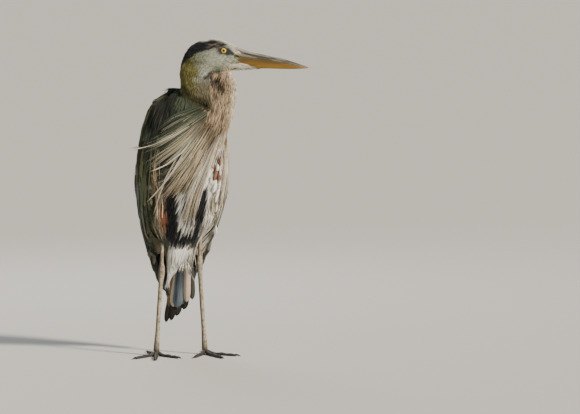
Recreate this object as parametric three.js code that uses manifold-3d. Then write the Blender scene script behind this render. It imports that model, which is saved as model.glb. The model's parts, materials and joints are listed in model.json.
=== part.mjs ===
// A life-size great blue heron at rest: it stands on both legs on a level floor, trunk upright,
// neck drawn in to an S, head turned to its left so that the bill points past the left shoulder.
//
// Millimetres, +Z up. The breast faces -Y and the bird's left side is +X. The origin is on the
// floor, under the middle of the bird's overall box.
import * as THREE from "three";
import { mergeVertices } from "three/addons/utils/BufferGeometryUtils.js";
import Module from "manifold-3d";

const wasm = await Module();
wasm.setup();

// ---------------------------------------------------------------------------------------------
// Driving dimensions
// ---------------------------------------------------------------------------------------------

const GAP = 0.35; // left between solids that touch
const LOOK_TURN = THREE.MathUtils.degToRad(-15); // the head's forward axis, turned from +X about Z
const NECK_PLANE = -45; // how far the neck and head lie to the head's right of the turning axis

// Trunk under the wings: height, breast line y, back line y, half width.
const TRUNK = [
  [216, 4, 30, 12],
  [232, -14, 46, 36],
  [260, -34, 58, 54],
  [300, -59, 68, 69],
  [350, -80, 72, 82],
  [410, -95, 65, 86],
  [470, -98, 48, 79],
  [520, -86, 36, 62],
  [552, -62, 22, 38],
  [568, -30, 2, 14],
];

// The form that the folded wings lie on: height, middle y, half width, half depth.
const WRAP = [
  [80, 62, 24, 9],
  [110, 58, 33, 15],
  [150, 51, 46, 25],
  [200, 40, 60, 39],
  [250, 27, 74, 55],
  [300, 14, 88, 70],
  [350, 0, 98, 80],
  [410, -13, 99, 83],
  [470, -22, 91, 78],
  [520, -22, 76, 64],
  [555, -18, 51, 45],
  [575, -14, 14, 13],
];

// Head, in the look frame: forward u, crown z, chin z, half width.
const HEAD = [
  [12, 631, 622, 6],
  [16, 641, 614, 13],
  [25, 652, 608, 19],
  [37, 660.5, 604, 23],
  [51, 668, 601, 25],
  [63, 672.4, 600, 24.3],
  [73, 673.2, 600.6, 23],
  [83, 671.4, 602, 21],
  [95, 667, 604.5, 18.5],
  [110, 659, 605.5, 15],
  [124, 651, 606, 12],
  [128, 644, 610, 9],
];
const EYE = { u: 90.5, z: 645.5, out: 12.4, radius: 7.6 };

// Bill: forward u, culmen z, cutting edge z, keel z, half width at the cutting edge.
const BILL = [
  [108, 656, 627, 606.5, 12],
  [124, 650.5, 628, 606.8, 10.6],
  [140, 645, 627.6, 607.4, 9.6],
  [180, 635.4, 623.4, 607.6, 7],
  [220, 626.4, 617.8, 606.6, 4.7],
  [242, 619.6, 613.8, 606.8, 3.1],
  [258, 614.2, 611, 607.6, 1.8],
  [268.5, 610.6, 609.6, 608.8, 0.6],
];

// Neck centrelines in the look frame: forward u, sideways d, height z, half breadth, half depth.
const NECK_UPPER = [
  [52, 2, 640, 17, 20],
  [46, 1, 620, 23, 35],
  [37.5, 0, 598, 26, 42],
  [37.5, 0, 576, 27, 42],
  [41, -1, 558, 27, 39.5],
  [46, -2, 543, 26, 34],
  [47, -2, 531, 24, 28],
];
const NECK_LOWER = [
  [91.5, 0, 606, 22, 26.5],
  [93, 0, 578, 26, 27],
  [90, 0, 549, 29, 30],
  [83, 0, 521, 33, 32],
  [71, 2, 494, 40, 34],
  [57, 6, 466, 47, 39],
  [44, 14, 432, 50, 46],
  [32, 26, 395, 46, 44],
];

const SIDES = { left: 1, right: -1 };

// Legs: where the thigh leaves the trunk, the ankle joint and the root of the toes.
const LEGS = {
  left: { ankle: [41, 12, 191], foot: [48.5, -4, 15] },
  right: { ankle: [-41.5, 12, 176], foot: [-56.5, -4, 15] },
};
const THIGH = { top: [47, -28, 330], drop: 60, radii: [22, 24, 19.5, 12.5, 7.4] };
const SHANK = { tibia: 5.6, ankle: 7.6, tarsus: 4.5, ankleDepth: 8.6, tarsusDepth: 5.6 };

// Toes: length and base radius; the angle is from straight ahead, positive towards +X.
const TOES = {
  middle: { length: 88, radius: 4.9 },
  outer: { length: 76, radius: 4.6 },
  inner: { length: 70, radius: 4.6 },
  hind: { length: 52, radius: 4.5 },
};
const TOE_ANGLES = {
  left: { inner: -30, middle: 10, outer: 44, hind: 170 },
  right: { inner: 26, middle: -14, outer: -47, hind: -172 },
};
const CLAW = { length: 14, overlap: 2.5, radius: 2.5 };

// The tail hangs askew: its feathers end lower, the further they lie to the bird's right.
const TAIL = { feathers: 5, spread: 46, root: [8, 44, 232], tip: [9, 64, 92], askew: 44 };
const TAIL_FEATHER = { halfWidth: 13, halfDepth: 1.7, stack: 2.2, curve: 10, step: 12 };

// Breast plumes, from the lower neck down: forward u and height z of each one's stations.
const PLUMES = [
  [[55, 510], [23, 477], [-13, 458], [-55, 444.5], [-80, 440.5], [-107, 441.5]],
  [[58, 500], [38, 482], [0, 450], [-27, 424], [-65, 390]],
  [[65, 491], [34, 447], [6, 401], [-23, 353], [-48, 336], [-76, 325]],
  [[70, 483], [46, 437], [19, 384], [-6, 340], [-27, 307]],
  [[78, 479], [53, 433], [25, 378], [8, 332], [0, 286]],
  [[86, 468], [74, 416], [57, 353], [46, 300], [42, 252]],
  [[93, 462], [86, 416], [76, 363], [67, 325]],
];
const PLUME = { halfWidth: 5.2, halfDepth: 1.7, tip: 0.3, lift: 3.2, root: [7, 3.4] };

// ---------------------------------------------------------------------------------------------
// Materials
// ---------------------------------------------------------------------------------------------

const finish = (color, roughness, metalness = 0) =>
  new THREE.MeshStandardMaterial({ color, roughness, metalness });
const FINISH = {
  faceFeather: finish(0xd9d6c8, 0.85),
  neckFeather: finish(0xa69a88, 0.85),
  bodyFeather: finish(0xcfc8b8, 0.85),
  wingFeather: finish(0x6f7876, 0.8),
  flightFeather: finish(0x4a5257, 0.75),
  plume: finish(0xd8cdb6, 0.8),
  blackFeather: finish(0x17181b, 0.75),
  thighFeather: finish(0x9a5f3c, 0.85),
  whiteFeather: finish(0xe6e2d6, 0.85),
  billUpper: finish(0x6b675e, 0.45),
  billLower: finish(0xc99432, 0.4),
  legScale: finish(0x8d7d63, 0.6),
  toeScale: finish(0x2d2a26, 0.6),
  claw: finish(0x14120f, 0.35),
  eye: finish(0xe8c61d, 0.1),
};

// ---------------------------------------------------------------------------------------------
// Helpers: tables, closed surfaces, booleans
// ---------------------------------------------------------------------------------------------

const rad = THREE.MathUtils.degToRad;
const mix = THREE.MathUtils.lerp;
const point = (x, y, z) => new THREE.Vector3(x, y, z);

// A smooth reading of a table whose first column grows; at(key) gives the other columns.
function reader(rows) {
  const keys = rows.map((row) => row[0]);
  const values = rows.flatMap((row) => row.slice(1));
  const cubic = new THREE.CubicInterpolant(keys, values, rows[0].length - 1);
  return (key) => [...cubic.evaluate(THREE.MathUtils.clamp(key, keys[0], keys.at(-1)))];
}

// The same piecewise-straight, for edges that are drawn as a few corners.
function corners(...pairs) {
  return (key) => {
    const after = pairs.findIndex(([at]) => at >= key);
    if (after === 0) return pairs[0][1];
    if (after < 0) return pairs.at(-1)[1];
    const [[a, p], [b, q]] = [pairs[after - 1], pairs[after]];
    return mix(p, q, (key - a) / (b - a));
  };
}

// Places a point given in the look frame (forward, sideways, height) into the bird's frame.
function look(u, d, z) {
  return point(u, d + NECK_PLANE, z).applyAxisAngle(point(0, 0, 1), LOOK_TURN);
}

const acrossHead = look(0, 1, 0).sub(look(0, 0, 0));

// A closed surface from corner points and triangles, turned to face outwards.
function closed(points, triangles) {
  let volume = 0;
  for (const [a, b, c] of triangles)
    volume += points[a].dot(points[b].clone().cross(points[c]));
  const facing = volume > 0 ? triangles : triangles.map(([a, b, c]) => [a, c, b]);
  const geometry = new THREE.BufferGeometry().setFromPoints(points);
  return geometry.setIndex(facing.flat());
}

// Skins a run of rings, all with as many points, and closes both ends to their middles.
function loft(rings) {
  const sides = rings[0].length;
  const points = rings.flat();
  const triangles = [];
  for (let r = 0; r + 1 < rings.length; r++)
    for (let s = 0; s < sides; s++) {
      const next = (s + 1) % sides;
      const [a, b] = [r * sides + s, r * sides + next];
      triangles.push([a, b, a + sides], [b, b + sides, a + sides]);
    }
  for (const [first, turned] of [[0, true], [(rings.length - 1) * sides, false]]) {
    const middle = points.length;
    const sum = points.slice(first, first + sides).reduce((m, p) => m.add(p), point(0, 0, 0));
    points.push(sum.divideScalar(sides));
    for (let s = 0; s < sides; s++) {
      const [a, b] = [first + s, first + ((s + 1) % sides)];
      triangles.push(turned ? [b, a, middle] : [a, b, middle]);
    }
  }
  return closed(points, triangles);
}

// A curved plate: place(a, v, face) gives a point of its outer face (1) or inner face (0).
function plate(across, along, place) {
  const points = [];
  const index = (face, i, j) => (face * (along + 1) + j) * (across + 1) + i;
  for (const face of [0, 1])
    for (let j = 0; j <= along; j++)
      for (let i = 0; i <= across; i++) points.push(place(i / across, j / along, face));
  const triangles = [];
  const quad = (a, b, c, d) => triangles.push([a, b, c], [a, c, d]);
  for (let j = 0; j < along; j++)
    for (let i = 0; i < across; i++) {
      quad(index(1, i, j), index(1, i + 1, j), index(1, i + 1, j + 1), index(1, i, j + 1));
      quad(index(0, i, j), index(0, i, j + 1), index(0, i + 1, j + 1), index(0, i + 1, j));
    }
  for (let i = 0; i < across; i++) {
    quad(index(1, i + 1, 0), index(1, i, 0), index(0, i, 0), index(0, i + 1, 0));
    quad(index(1, i, along), index(1, i + 1, along), index(0, i + 1, along), index(0, i, along));
  }
  for (let j = 0; j < along; j++) {
    quad(index(1, 0, j), index(1, 0, j + 1), index(0, 0, j + 1), index(0, 0, j));
    quad(index(1, across, j + 1), index(1, across, j), index(0, across, j), index(0, across, j + 1));
  }
  return closed(points, triangles);
}

// A rod along stations [x, y, z, half breadth, half depth]. The breadth lies along side, the
// ends are domed over cap millimetres, and place moves each station into the bird's frame. With
// start 0 and an even number of sides, a level rod has a flat side below.
function rod(stations, shape) {
  const { side, sides, steps, start = 0.5, cap = 0, grow = 0, place = point } = shape;
  const placed = stations.map(([x, y, z]) => place(x, y, z));
  const run = [0];
  for (let i = 1; i < placed.length; i++) run.push(run[i - 1] + placed[i].distanceTo(placed[i - 1]));
  const rows = placed.map((p, i) => [run[i], p.x, p.y, p.z, ...stations[i].slice(3)]);
  const at = reader(rows);
  const length = run.at(-1);
  const rings = [];
  for (let i = 0; i <= steps; i++) {
    const s = length * (cap ? (1 - Math.cos((Math.PI * i) / steps)) / 2 : i / steps);
    const [x, y, z, breadth, depth] = at(s);
    const ahead = point(...at(Math.min(s + 0.5, length)));
    const tangent = ahead.sub(point(...at(Math.max(s - 0.5, 0)))).normalize();
    const across = side.clone().addScaledVector(tangent, -side.dot(tangent)).normalize();
    const up = tangent.clone().cross(across);
    const end = Math.min(s, length - s);
    const dome = end < cap ? Math.sqrt(1 - (1 - end / cap) ** 2) : 1;
    const shrink = Math.max(dome, 0.12);
    const ring = [];
    for (let k = 0; k < sides; k++) {
      const turn = (2 * Math.PI * (k + start)) / sides;
      const out = across.clone().multiplyScalar((breadth * shrink + grow) * Math.cos(turn));
      out.addScaledVector(up, (depth * shrink + grow) * Math.sin(turn));
      ring.push(point(x, y, z).add(out));
    }
    rings.push(ring);
  }
  return loft(rings);
}

// Solids for joining and cutting, and back to a geometry.
function solid(geometry) {
  const merged = mergeVertices(geometry, 1e-4);
  const vertProperties = merged.attributes.position.array;
  const triVerts = new Uint32Array(merged.index.array);
  return new wasm.Manifold(new wasm.Mesh({ numProp: 3, vertProperties, triVerts }));
}

function largest(made) {
  return made.decompose().sort((a, b) => b.volume() - a.volume())[0];
}

function geometryOf(made) {
  const { numProp, vertProperties, triVerts } = made.getMesh();
  const positions = [];
  for (let i = 0; i < vertProperties.length; i += numProp)
    positions.push(vertProperties[i], vertProperties[i + 1], vertProperties[i + 2]);
  const geometry = new THREE.BufferGeometry();
  geometry.setAttribute("position", new THREE.Float32BufferAttribute(positions, 3));
  return geometry.setIndex([...triVerts]);
}

const heron = new THREE.Group();

// Adds a solid to the bird as a named mesh, less the solids that it lies against.
function add(name, made, material, ...against) {
  const cut = against.reduce((rest, other) => rest.subtract(other), made);
  const mesh = new THREE.Mesh(geometryOf(largest(cut)), material);
  mesh.name = name;
  heron.add(mesh);
  return mesh;
}

// ---------------------------------------------------------------------------------------------
// Trunk, head and neck
// ---------------------------------------------------------------------------------------------

const trunkAt = reader(TRUNK);
const TRUNK_GRID = { rings: 12, sides: 18 };

// A point on the trunk; turn is 0 at the breast, 90 at the left side and 180 at the back.
function trunkPoint(turn, height, out) {
  const [front, back, halfWidth] = trunkAt(height);
  const halfDepth = (back - front) / 2;
  const x = (halfWidth + out) * Math.sin(rad(turn));
  return point(x, (front + back) / 2 - (halfDepth + out) * Math.cos(rad(turn)), height);
}

function trunk(grow = 0) {
  const [low, high] = [TRUNK[0][0], TRUNK.at(-1)[0]];
  const rings = [];
  for (let i = 0; i <= TRUNK_GRID.rings; i++) {
    const share = (1 - Math.cos((Math.PI * i) / TRUNK_GRID.rings)) / 2;
    const height = mix(low, high, mix(i / TRUNK_GRID.rings, share, 0.5));
    const ring = [];
    for (let k = 0; k < TRUNK_GRID.sides; k++)
      ring.push(trunkPoint((360 * k) / TRUNK_GRID.sides, height, grow));
    rings.push(ring);
  }
  const lift = (ring, by) => ring.forEach((p) => (p.z += by));
  lift(rings[0], -grow);
  lift(rings.at(-1), grow);
  return solid(loft(rings));
}

// A ring of the head across its forward axis, squarer than an ellipse.
function headRing(u, top, bottom, halfWidth, grow, sides = 14) {
  const ring = [];
  const square = (v) => Math.sign(v) * Math.abs(v) ** 0.88;
  for (let k = 0; k < sides; k++) {
    const turn = (2 * Math.PI * (k + 0.5)) / sides;
    const height = (top + bottom) / 2 + ((top - bottom) / 2 + grow) * square(Math.sin(turn));
    const taper = 1 - 0.16 * Math.max(0, Math.sin(turn)); // the crown is narrower than the cheeks
    ring.push(look(u, (halfWidth + grow) * taper * square(Math.cos(turn)), height));
  }
  return ring;
}

function head(grow = 0) {
  const at = reader(HEAD);
  const rings = [];
  for (let i = 0; i <= 10; i++) {
    const share = (1 - Math.cos((Math.PI * i) / 10)) / 2;
    const u = mix(HEAD[0][0], HEAD.at(-1)[0], share);
    rings.push(headRing(u, ...at(u), grow));
  }
  const skull = solid(loft(rings));
  // The feathered tongue of skin that runs forward under the lower mandible.
  const chin = [
    [100, 0, 611, 9, 6.4],
    [130, 0, 608.4, 7, 3.2],
    [156, 0, 607.2, 4, 1.5],
    [170, 0, 607, 1.6, 0.8],
  ];
  const shape = { side: acrossHead, sides: 6, steps: 4, grow, place: look };
  return skull.add(solid(rod(chin, shape)));
}

// The two halves of the bill: half 1 is the upper, half -1 the lower.
function mandible(half, grow = 0) {
  const at = reader(BILL);
  const rings = [];
  for (let i = 0; i <= 6; i++) {
    const share = (i / 6) ** 0.85;
    const u = mix(BILL[0][0], BILL.at(-1)[0], share);
    const [culmen, edge, keel, halfWidth] = at(u);
    const seam = edge - (half < 0 ? GAP : 0);
    const deep = half > 0 ? culmen - seam : seam - keel;
    const ring = [];
    for (let k = 0; k <= 8; k++) {
      const turn = (Math.PI * k) / 8;
      const rise = deep * Math.sin(turn) ** 0.85 + (k % 8 ? grow : -grow);
      const flare = Math.sign(Math.cos(turn)) * Math.abs(Math.cos(turn)) ** 0.8;
      ring.push(look(u, (halfWidth + grow) * flare, seam + half * rise));
    }
    rings.push(ring);
  }
  return solid(loft(rings));
}

const neckShape = { side: acrossHead, sides: 12, place: look };
const upperNeck = (grow = 0) =>
  solid(rod(NECK_UPPER, { ...neckShape, steps: 7, cap: 14, grow }));
const lowerNeck = (grow = 0) =>
  solid(rod(NECK_LOWER, { ...neckShape, steps: 9, cap: 24, grow }));

function eyeball(side, grow = 0) {
  const ball = new THREE.SphereGeometry(EYE.radius + grow, 9, 7);
  ball.deleteAttribute("normal");
  ball.deleteAttribute("uv");
  const { x, y, z } = look(EYE.u, side * EYE.out, EYE.z);
  return solid(ball.translate(x, y, z));
}

// The short black feathers of the hind crown, lying down the nape.
const CREST = [
  [60, 0, 666, 8, 3],
  [34, 0, 659, 15, 5],
  [15, 0, 642, 15, 5],
  [3, 0, 616, 9, 4],
  [-2.5, 0, 592, 3, 2],
];
const crest = (grow = 0) =>
  solid(rod(CREST, { side: acrossHead, sides: 6, steps: 6, grow, place: look }));

const trunkCut = trunk(GAP);
const headCut = head(GAP);
const lowerNeckCut = lowerNeck(GAP);
const eyeCuts = [eyeball(1, GAP), eyeball(-1, GAP)];

add("trunk", trunk(), FINISH.bodyFeather);
add("head", head(), FINISH.faceFeather, ...eyeCuts);
add("bill_upper", mandible(1), FINISH.billUpper, headCut);
add("bill_lower", mandible(-1), FINISH.billLower, headCut);
add("eye_left", eyeball(1), FINISH.eye);
add("eye_right", eyeball(-1), FINISH.eye);
add("neck_lower", lowerNeck(), FINISH.neckFeather, trunkCut, headCut);
add("neck_upper", upperNeck(), FINISH.neckFeather, trunkCut, headCut, lowerNeckCut);
add("crest", crest(), FINISH.blackFeather, headCut, upperNeck(GAP), trunkCut);

// ---------------------------------------------------------------------------------------------
// Folded wings
// ---------------------------------------------------------------------------------------------

const wrapAt = reader(WRAP);

// A point on the form under the folded wings; turn is 0 at the breast and 180 at the back.
function wrap(side, turn, height, out) {
  const [middle, halfWidth, halfDepth] = wrapAt(height);
  const x = side * (halfWidth + out) * Math.sin(rad(turn));
  return point(x, middle - (halfDepth + out) * Math.cos(rad(turn)), height);
}

// Each layer of a wing: its edges by angle, top and bottom heights by angle, and how deep it
// lies. A scallop is one feather tip of its lower edge.
const LAYERS = {
  coverts: {
    from: corners([0, 39], [0.6, 40], [1, 62]),
    to: 168,
    top: corners([34, 455], [62, 528], [100, 552], [117, 548], [124, 404], [168, 398]),
    bottom: corners([40, 318], [70, 262], [110, 222], [168, 206]),
    outer: 0,
    depth: 11,
    scallops: 6,
    scallop: 11,
    grid: [11, 5],
  },
  secondaries: {
    from: corners([0, 42], [1, 96]),
    to: 172,
    top: corners([40, 318], [70, 268], [110, 231], [172, 216]),
    bottom: corners([62, 262], [96, 182], [130, 146], [172, 128]),
    outer: -2.5,
    depth: 4.4,
    scallops: 4,
    scallop: 16,
    grid: [8, 4],
  },
  primaries: {
    from: corners([0, 112], [1, 150]),
    to: 176,
    top: corners([110, 178], [176, 160]),
    bottom: corners([110, 150], [150, 104], [176, 96]),
    outer: -4,
    depth: 4.5,
    scallops: 2,
    scallop: 18,
    grid: [4, 4],
  },
};

// Plates lie this far off the trunk's own facets.
const CLEAR = 1.3;

// The point, or the trunk's surface at its height where that lies further out.
function outermost(p, turn, clear) {
  const { x, y } = trunkPoint(turn, p.z, clear);
  const [front, back] = trunkAt(p.z);
  const middle = (front + back) / 2;
  return Math.hypot(x, y - middle) > Math.hypot(p.x, p.y - middle) ? point(x, y, p.z) : p;
}

// Degrees by which a grown plate's first and last edges pass the plate's own.
const beyond = (a, grow) => (a === 0 ? -grow : a === 1 ? grow : 0);

// The right wing's leading edge lies further back than the left one's.
const LEAD = { 1: -5, [-1]: 4 };

function wingLayer(side, layer, grow = 0) {
  const { from, to, top, bottom, outer, depth, scallops, scallop, grid } = layer;
  const place = (a, v, face) => {
    const turn = mix(from(v) + LEAD[side], to, a);
    const tip = scallop * Math.abs(Math.sin(Math.PI * scallops * a));
    const height = mix(top(turn) + grow, bottom(turn) - tip - 3 * grow, v);
    const edge = turn + beyond(a, grow);
    if (face) return wrap(side, edge, height, outer + grow);
    const thin = Math.min(1, 0.45 + 3 * a) * (1 - 0.35 * v);
    const inner = wrap(side, edge, height, outer - depth * thin - grow);
    return outermost(inner, side * edge, CLEAR - 8 * grow);
  };
  return solid(plate(...grid, place));
}

// Long loose feathers of the shoulders, hanging over the back and the upper wings. The wings'
// coverts begin under their lower part.
const MANTLE = { from: 112, to: 248, top: 570, bottom: 356, tips: 8, tip: 36, thick: 5.5 };

function mantle(grow = 0) {
  const place = (a, v, face) => {
    const turn = mix(MANTLE.from, MANTLE.to, a);
    const tip = MANTLE.tip * Math.abs(Math.sin(Math.PI * MANTLE.tips * a));
    const height = mix(MANTLE.top + grow, MANTLE.bottom - tip - 3 * grow, v);
    const edge = turn + beyond(a, grow);
    if (face) return wrap(1, edge, height, MANTLE.thick * (1 - 0.5 * v) + grow);
    const inner = wrap(1, edge, height, (v > 0.12 ? 1 : -9) - grow);
    return outermost(inner, edge, CLEAR - 8 * grow);
  };
  return solid(plate(16, 5, place));
}

const mantleCut = mantle(GAP);
const neckCuts = [lowerNeckCut, upperNeck(GAP)];
add("mantle", mantle(), FINISH.wingFeather, trunkCut, headCut, ...neckCuts, crest(GAP));

// ---------------------------------------------------------------------------------------------
// Tail, and the white feathers under it
// ---------------------------------------------------------------------------------------------

function tail(grow = 0) {
  const [root, tip] = [point(...TAIL.root), point(...TAIL.tip)];
  let made = null;
  for (let i = 0; i < TAIL.feathers; i++) {
    const share = i / (TAIL.feathers - 1) - 0.5;
    const { halfWidth, halfDepth, stack, curve, step } = TAIL_FEATHER;
    const outward = share ** 2;
    const drop = step * outward + TAIL.askew * share;
    const end = tip.clone().add(point(TAIL.spread * share, curve * outward - 3, drop));
    const stations = [];
    for (const [along, breadth] of [[0, 0.55], [0.35, 0.8], [0.7, 1], [0.9, 0.95], [1, 0.3]]) {
      const p = root.clone().lerp(end, along);
      stations.push([p.x, p.y - stack * Math.abs(share), p.z, halfWidth * breadth, halfDepth]);
    }
    const feather = solid(rod(stations, { side: point(1, 0, 0), sides: 4, steps: 4, grow }));
    made = made ? made.add(feather) : feather;
  }
  return made;
}

const UNDERTAIL = [
  [4, 6, 262, 34, 26],
  [-4, 12, 232, 31, 24],
  [-9, 22, 204, 22, 17],
  [-16, 32, 176, 12, 10],
  [-23, 36, 150, 4, 3],
];
const UNDERTAIL_LEFT = [
  [18, 12, 240, 19, 17],
  [23, 18, 216, 14, 12],
  [24, 25, 190, 8, 7],
  [21, 29, 168, 3, 3],
];
function undertail(grow = 0) {
  const shape = { side: point(1, 0, 0), grow };
  const middle = solid(rod(UNDERTAIL, { ...shape, sides: 8, steps: 5 }));
  return middle.add(solid(rod(UNDERTAIL_LEFT, { ...shape, sides: 6, steps: 3 })));
}

const tailCut = tail(GAP);
const undertailCut = undertail(GAP);
add("tail", tail(), FINISH.flightFeather, trunkCut);
add("undertail", undertail(), FINISH.whiteFeather, trunkCut, tailCut);

// ---------------------------------------------------------------------------------------------
// Legs and feet
// ---------------------------------------------------------------------------------------------

function thigh(name, grow = 0) {
  const side = SIDES[name];
  const [x, y, z] = LEGS[name].ankle;
  const top = point(side * THIGH.top[0], THIGH.top[1], THIGH.top[2]);
  const bottom = point(x, y - 7, z + THIGH.drop);
  const stations = THIGH.radii.map((radius, i) => {
    const p = top.clone().lerp(bottom, i / (THIGH.radii.length - 1));
    return [p.x, p.y, p.z, radius, radius * 1.12];
  });
  return solid(rod(stations, { side: point(1, 0, 0), sides: 10, steps: 6, cap: 12, grow }));
}

function shank(name, grow = 0) {
  const [ankle, foot] = [LEGS[name].ankle, LEGS[name].foot];
  const [ax, ay, az] = ankle;
  const along = (t) => [mix(ax, foot[0], t), mix(ay, foot[1], t), mix(az, foot[2], t)];
  const { tibia, tarsus, ankleDepth, tarsusDepth } = SHANK;
  const stations = [
    [ax + Math.sign(ax), ay - 9, az + 72, tibia, tibia * 1.15],
    [ax, ay - 4, az + 34, tibia, tibia * 1.15],
    [ax, ay - 1, az + 13, SHANK.ankle * 0.86, ankleDepth * 0.86],
    [ax, ay, az, SHANK.ankle, ankleDepth],
    [...along(0.08), SHANK.ankle * 0.84, ankleDepth * 0.84],
    [...along(0.2), tarsus, tarsusDepth],
    [...along(0.82), tarsus * 0.96, tarsusDepth],
    [...along(0.95), tarsus * 1.3, tarsusDepth * 1.1],
    [foot[0], foot[1], foot[2] - 6, tarsus * 1.35, tarsusDepth * 1.2],
    [foot[0], foot[1], foot[2] - 12, tarsus * 1.1, tarsusDepth],
  ];
  return solid(rod(stations, { side: point(1, 0, 0), sides: 7, steps: 13, grow }));
}

// Presses whatever lies below a level up to it, which leaves a flat sole on the floor.
function pressed(geometry, level = 0) {
  const corner = geometry.attributes.position;
  for (let i = 0; i < corner.count; i++) corner.setZ(i, Math.max(corner.getZ(i), level));
  return geometry;
}

// A toe leaves the root of the foot, comes down to the floor and lies along it, with a pad at
// each joint.
const SOLE = 0.64; // height of a toe's middle line, against its half width

function toe(name, digit, grow = 0) {
  const { length, radius } = TOES[digit];
  const turn = rad(TOE_ANGLES[name][digit]);
  const [x, y, z] = LEGS[name].foot;
  const stations = [];
  for (const [share, lift, size] of [
    [0, z - 8, 0.95],
    [0.12, 3.4, 0.95],
    [0.24, 0, 1.02],
    [0.42, 0, 0.82],
    [0.56, 0, 0.98],
    [0.72, 0, 0.76],
    [0.86, 0, 0.86],
    [1, 0, 0.58],
  ]) {
    const out = length * share;
    const [px, py] = [x + out * Math.sin(turn), y - out * Math.cos(turn)];
    stations.push([px, py, lift + SOLE * radius * size, radius * size, radius * size * 0.86]);
  }
  const across = point(Math.cos(turn), Math.sin(turn), 0);
  const shape = { side: across, sides: 6, steps: 8, start: 0, grow };
  return solid(pressed(rod(stations, shape), -3 * grow));
}

function claw(name, digit) {
  const { length } = TOES[digit];
  const turn = rad(TOE_ANGLES[name][digit]);
  const [x, y] = LEGS[name].foot;
  const stations = [];
  for (const [share, height, size] of [[0, 2.5, 1], [0.35, 3.4, 0.84], [0.7, 2.9, 0.56], [1, 1.3, 0.22]]) {
    const out = length - CLAW.overlap + (CLAW.length + CLAW.overlap) * share;
    const [px, py] = [x + out * Math.sin(turn), y - out * Math.cos(turn)];
    stations.push([px, py, height, CLAW.radius * size * 0.7, CLAW.radius * size]);
  }
  const across = point(Math.cos(turn), Math.sin(turn), 0);
  return solid(pressed(rod(stations, { side: across, sides: 5, steps: 3 })));
}

const thighCuts = [];
for (const name of ["left", "right"]) {
  const thighCut = thigh(name, GAP);
  thighCuts.push(thighCut);
  add(`thigh_${name}`, thigh(name), FINISH.thighFeather, trunkCut, undertailCut);
  const shankCut = shank(name, GAP);
  add(`shank_${name}`, shank(name), FINISH.legScale, thighCut, trunkCut);
  let taken = shankCut;
  for (const digit of ["middle", "outer", "inner", "hind"]) {
    const toeCut = toe(name, digit, GAP);
    add(`toe_${name}_${digit}`, toe(name, digit), FINISH.toeScale, taken);
    taken = taken.add(toeCut);
    add(`claw_${name}_${digit}`, claw(name, digit), FINISH.claw, toeCut);
  }
}

// ---------------------------------------------------------------------------------------------
// The wings' layers, from the outermost in
// ---------------------------------------------------------------------------------------------

const bodyCuts = [trunkCut, mantleCut, tailCut, undertailCut, ...thighCuts, ...neckCuts];
const wingCuts = [];
for (const [name, side] of Object.entries(SIDES)) {
  const coverts = wingLayer(side, LAYERS.coverts, GAP);
  const secondaries = wingLayer(side, LAYERS.secondaries, GAP);
  const shanks = [shank(name, GAP)];
  add(`wing_${name}_coverts`, wingLayer(side, LAYERS.coverts), FINISH.wingFeather, ...bodyCuts);
  const under = [...bodyCuts, ...shanks, coverts];
  add(`wing_${name}_secondaries`, wingLayer(side, LAYERS.secondaries), FINISH.flightFeather, ...under);
  const last = [...under, secondaries];
  add(`wing_${name}_primaries`, wingLayer(side, LAYERS.primaries), FINISH.flightFeather, ...last);
  wingCuts.push(coverts);
}

// ---------------------------------------------------------------------------------------------
// Breast plumes, laid over the neck, the breast and the right wing
// ---------------------------------------------------------------------------------------------

const neckRows = NECK_LOWER.map(([u, d, z, breadth, depth]) => [z, u, d, breadth, depth]);
const neckAt = reader(neckRows.reverse());

const FLANK = 0.93;

// The near side of an upright ellipse at x; a point beside it is taken back to its flank.
function nearSide(x, [middleX, middleY], halfX, halfY) {
  const share = THREE.MathUtils.clamp((x - middleX) / halfX, -FLANK, FLANK);
  return middleY - halfY * Math.sqrt(1 - share ** 2);
}

// The foremost y of the neck, the trunk and the folded wings at (x, z).
function foremost(x, z) {
  const [front, back, halfWidth] = trunkAt(z);
  const sides = [nearSide(x, [0, (front + back) / 2], halfWidth, (back - front) / 2)];
  const [middle, wingWidth, wingDepth] = wrapAt(z);
  const lead = LAYERS.coverts.from(0.3) + LEAD[Math.sign(x) || 1] - 6;
  const onWing = Math.abs(x) > wingWidth * Math.sin(rad(lead));
  if (onWing) sides.push(nearSide(x, [0, middle], wingWidth, wingDepth));
  const [u, d, breadth, depth] = neckAt(z);
  const neck = look(u, d, z);
  const beside = Math.abs(x - neck.x) < depth;
  if (beside && z > NECK_LOWER.at(-1)[2]) sides.push(nearSide(x, [neck.x, neck.y], depth, breadth));
  return Math.min(...sides);
}

// A point at u and z of the look frame, lifted off whatever is foremost there.
function lay(u, z, lift) {
  let d = -60;
  for (let i = 0; i < 8; i++) {
    const p = look(u, d, z);
    d += foremost(p.x, z) - lift - p.y;
  }
  return look(u, d, z);
}

function plumes() {
  const across = point(1, 0, -1).normalize();
  const strand = (row, i) => {
    const stations = row.map(([u, z], k) => {
      const along = k / (row.length - 1);
      const p = lay(u, z, PLUME.lift + 0.5 * (i % 2));
      const taper = mix(1, PLUME.tip, along ** 2);
      return [p.x, p.y, p.z, PLUME.halfWidth * taper, PLUME.halfDepth * mix(1, 0.5, along)];
    });
    return solid(rod(stations, { side: across, sides: 4, steps: 5 }));
  };
  const roots = PLUMES.map(([[u, z]]) => [...lay(u, z, PLUME.lift), ...PLUME.root]);
  const bib = solid(rod(roots, { side: point(1, 0, 1).normalize(), sides: 5, steps: 4 }));
  return PLUMES.map(strand).reduce((made, next) => made.add(next), bib);
}

add("plumes", plumes(), FINISH.plume, ...bodyCuts, ...wingCuts);

heron.updateMatrixWorld(true);
const box = new THREE.Box3().setFromObject(heron, true);
heron.position.set(-(box.min.x + box.max.x) / 2, -(box.min.y + box.max.y) / 2, -box.min.z);

export default heron;
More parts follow.
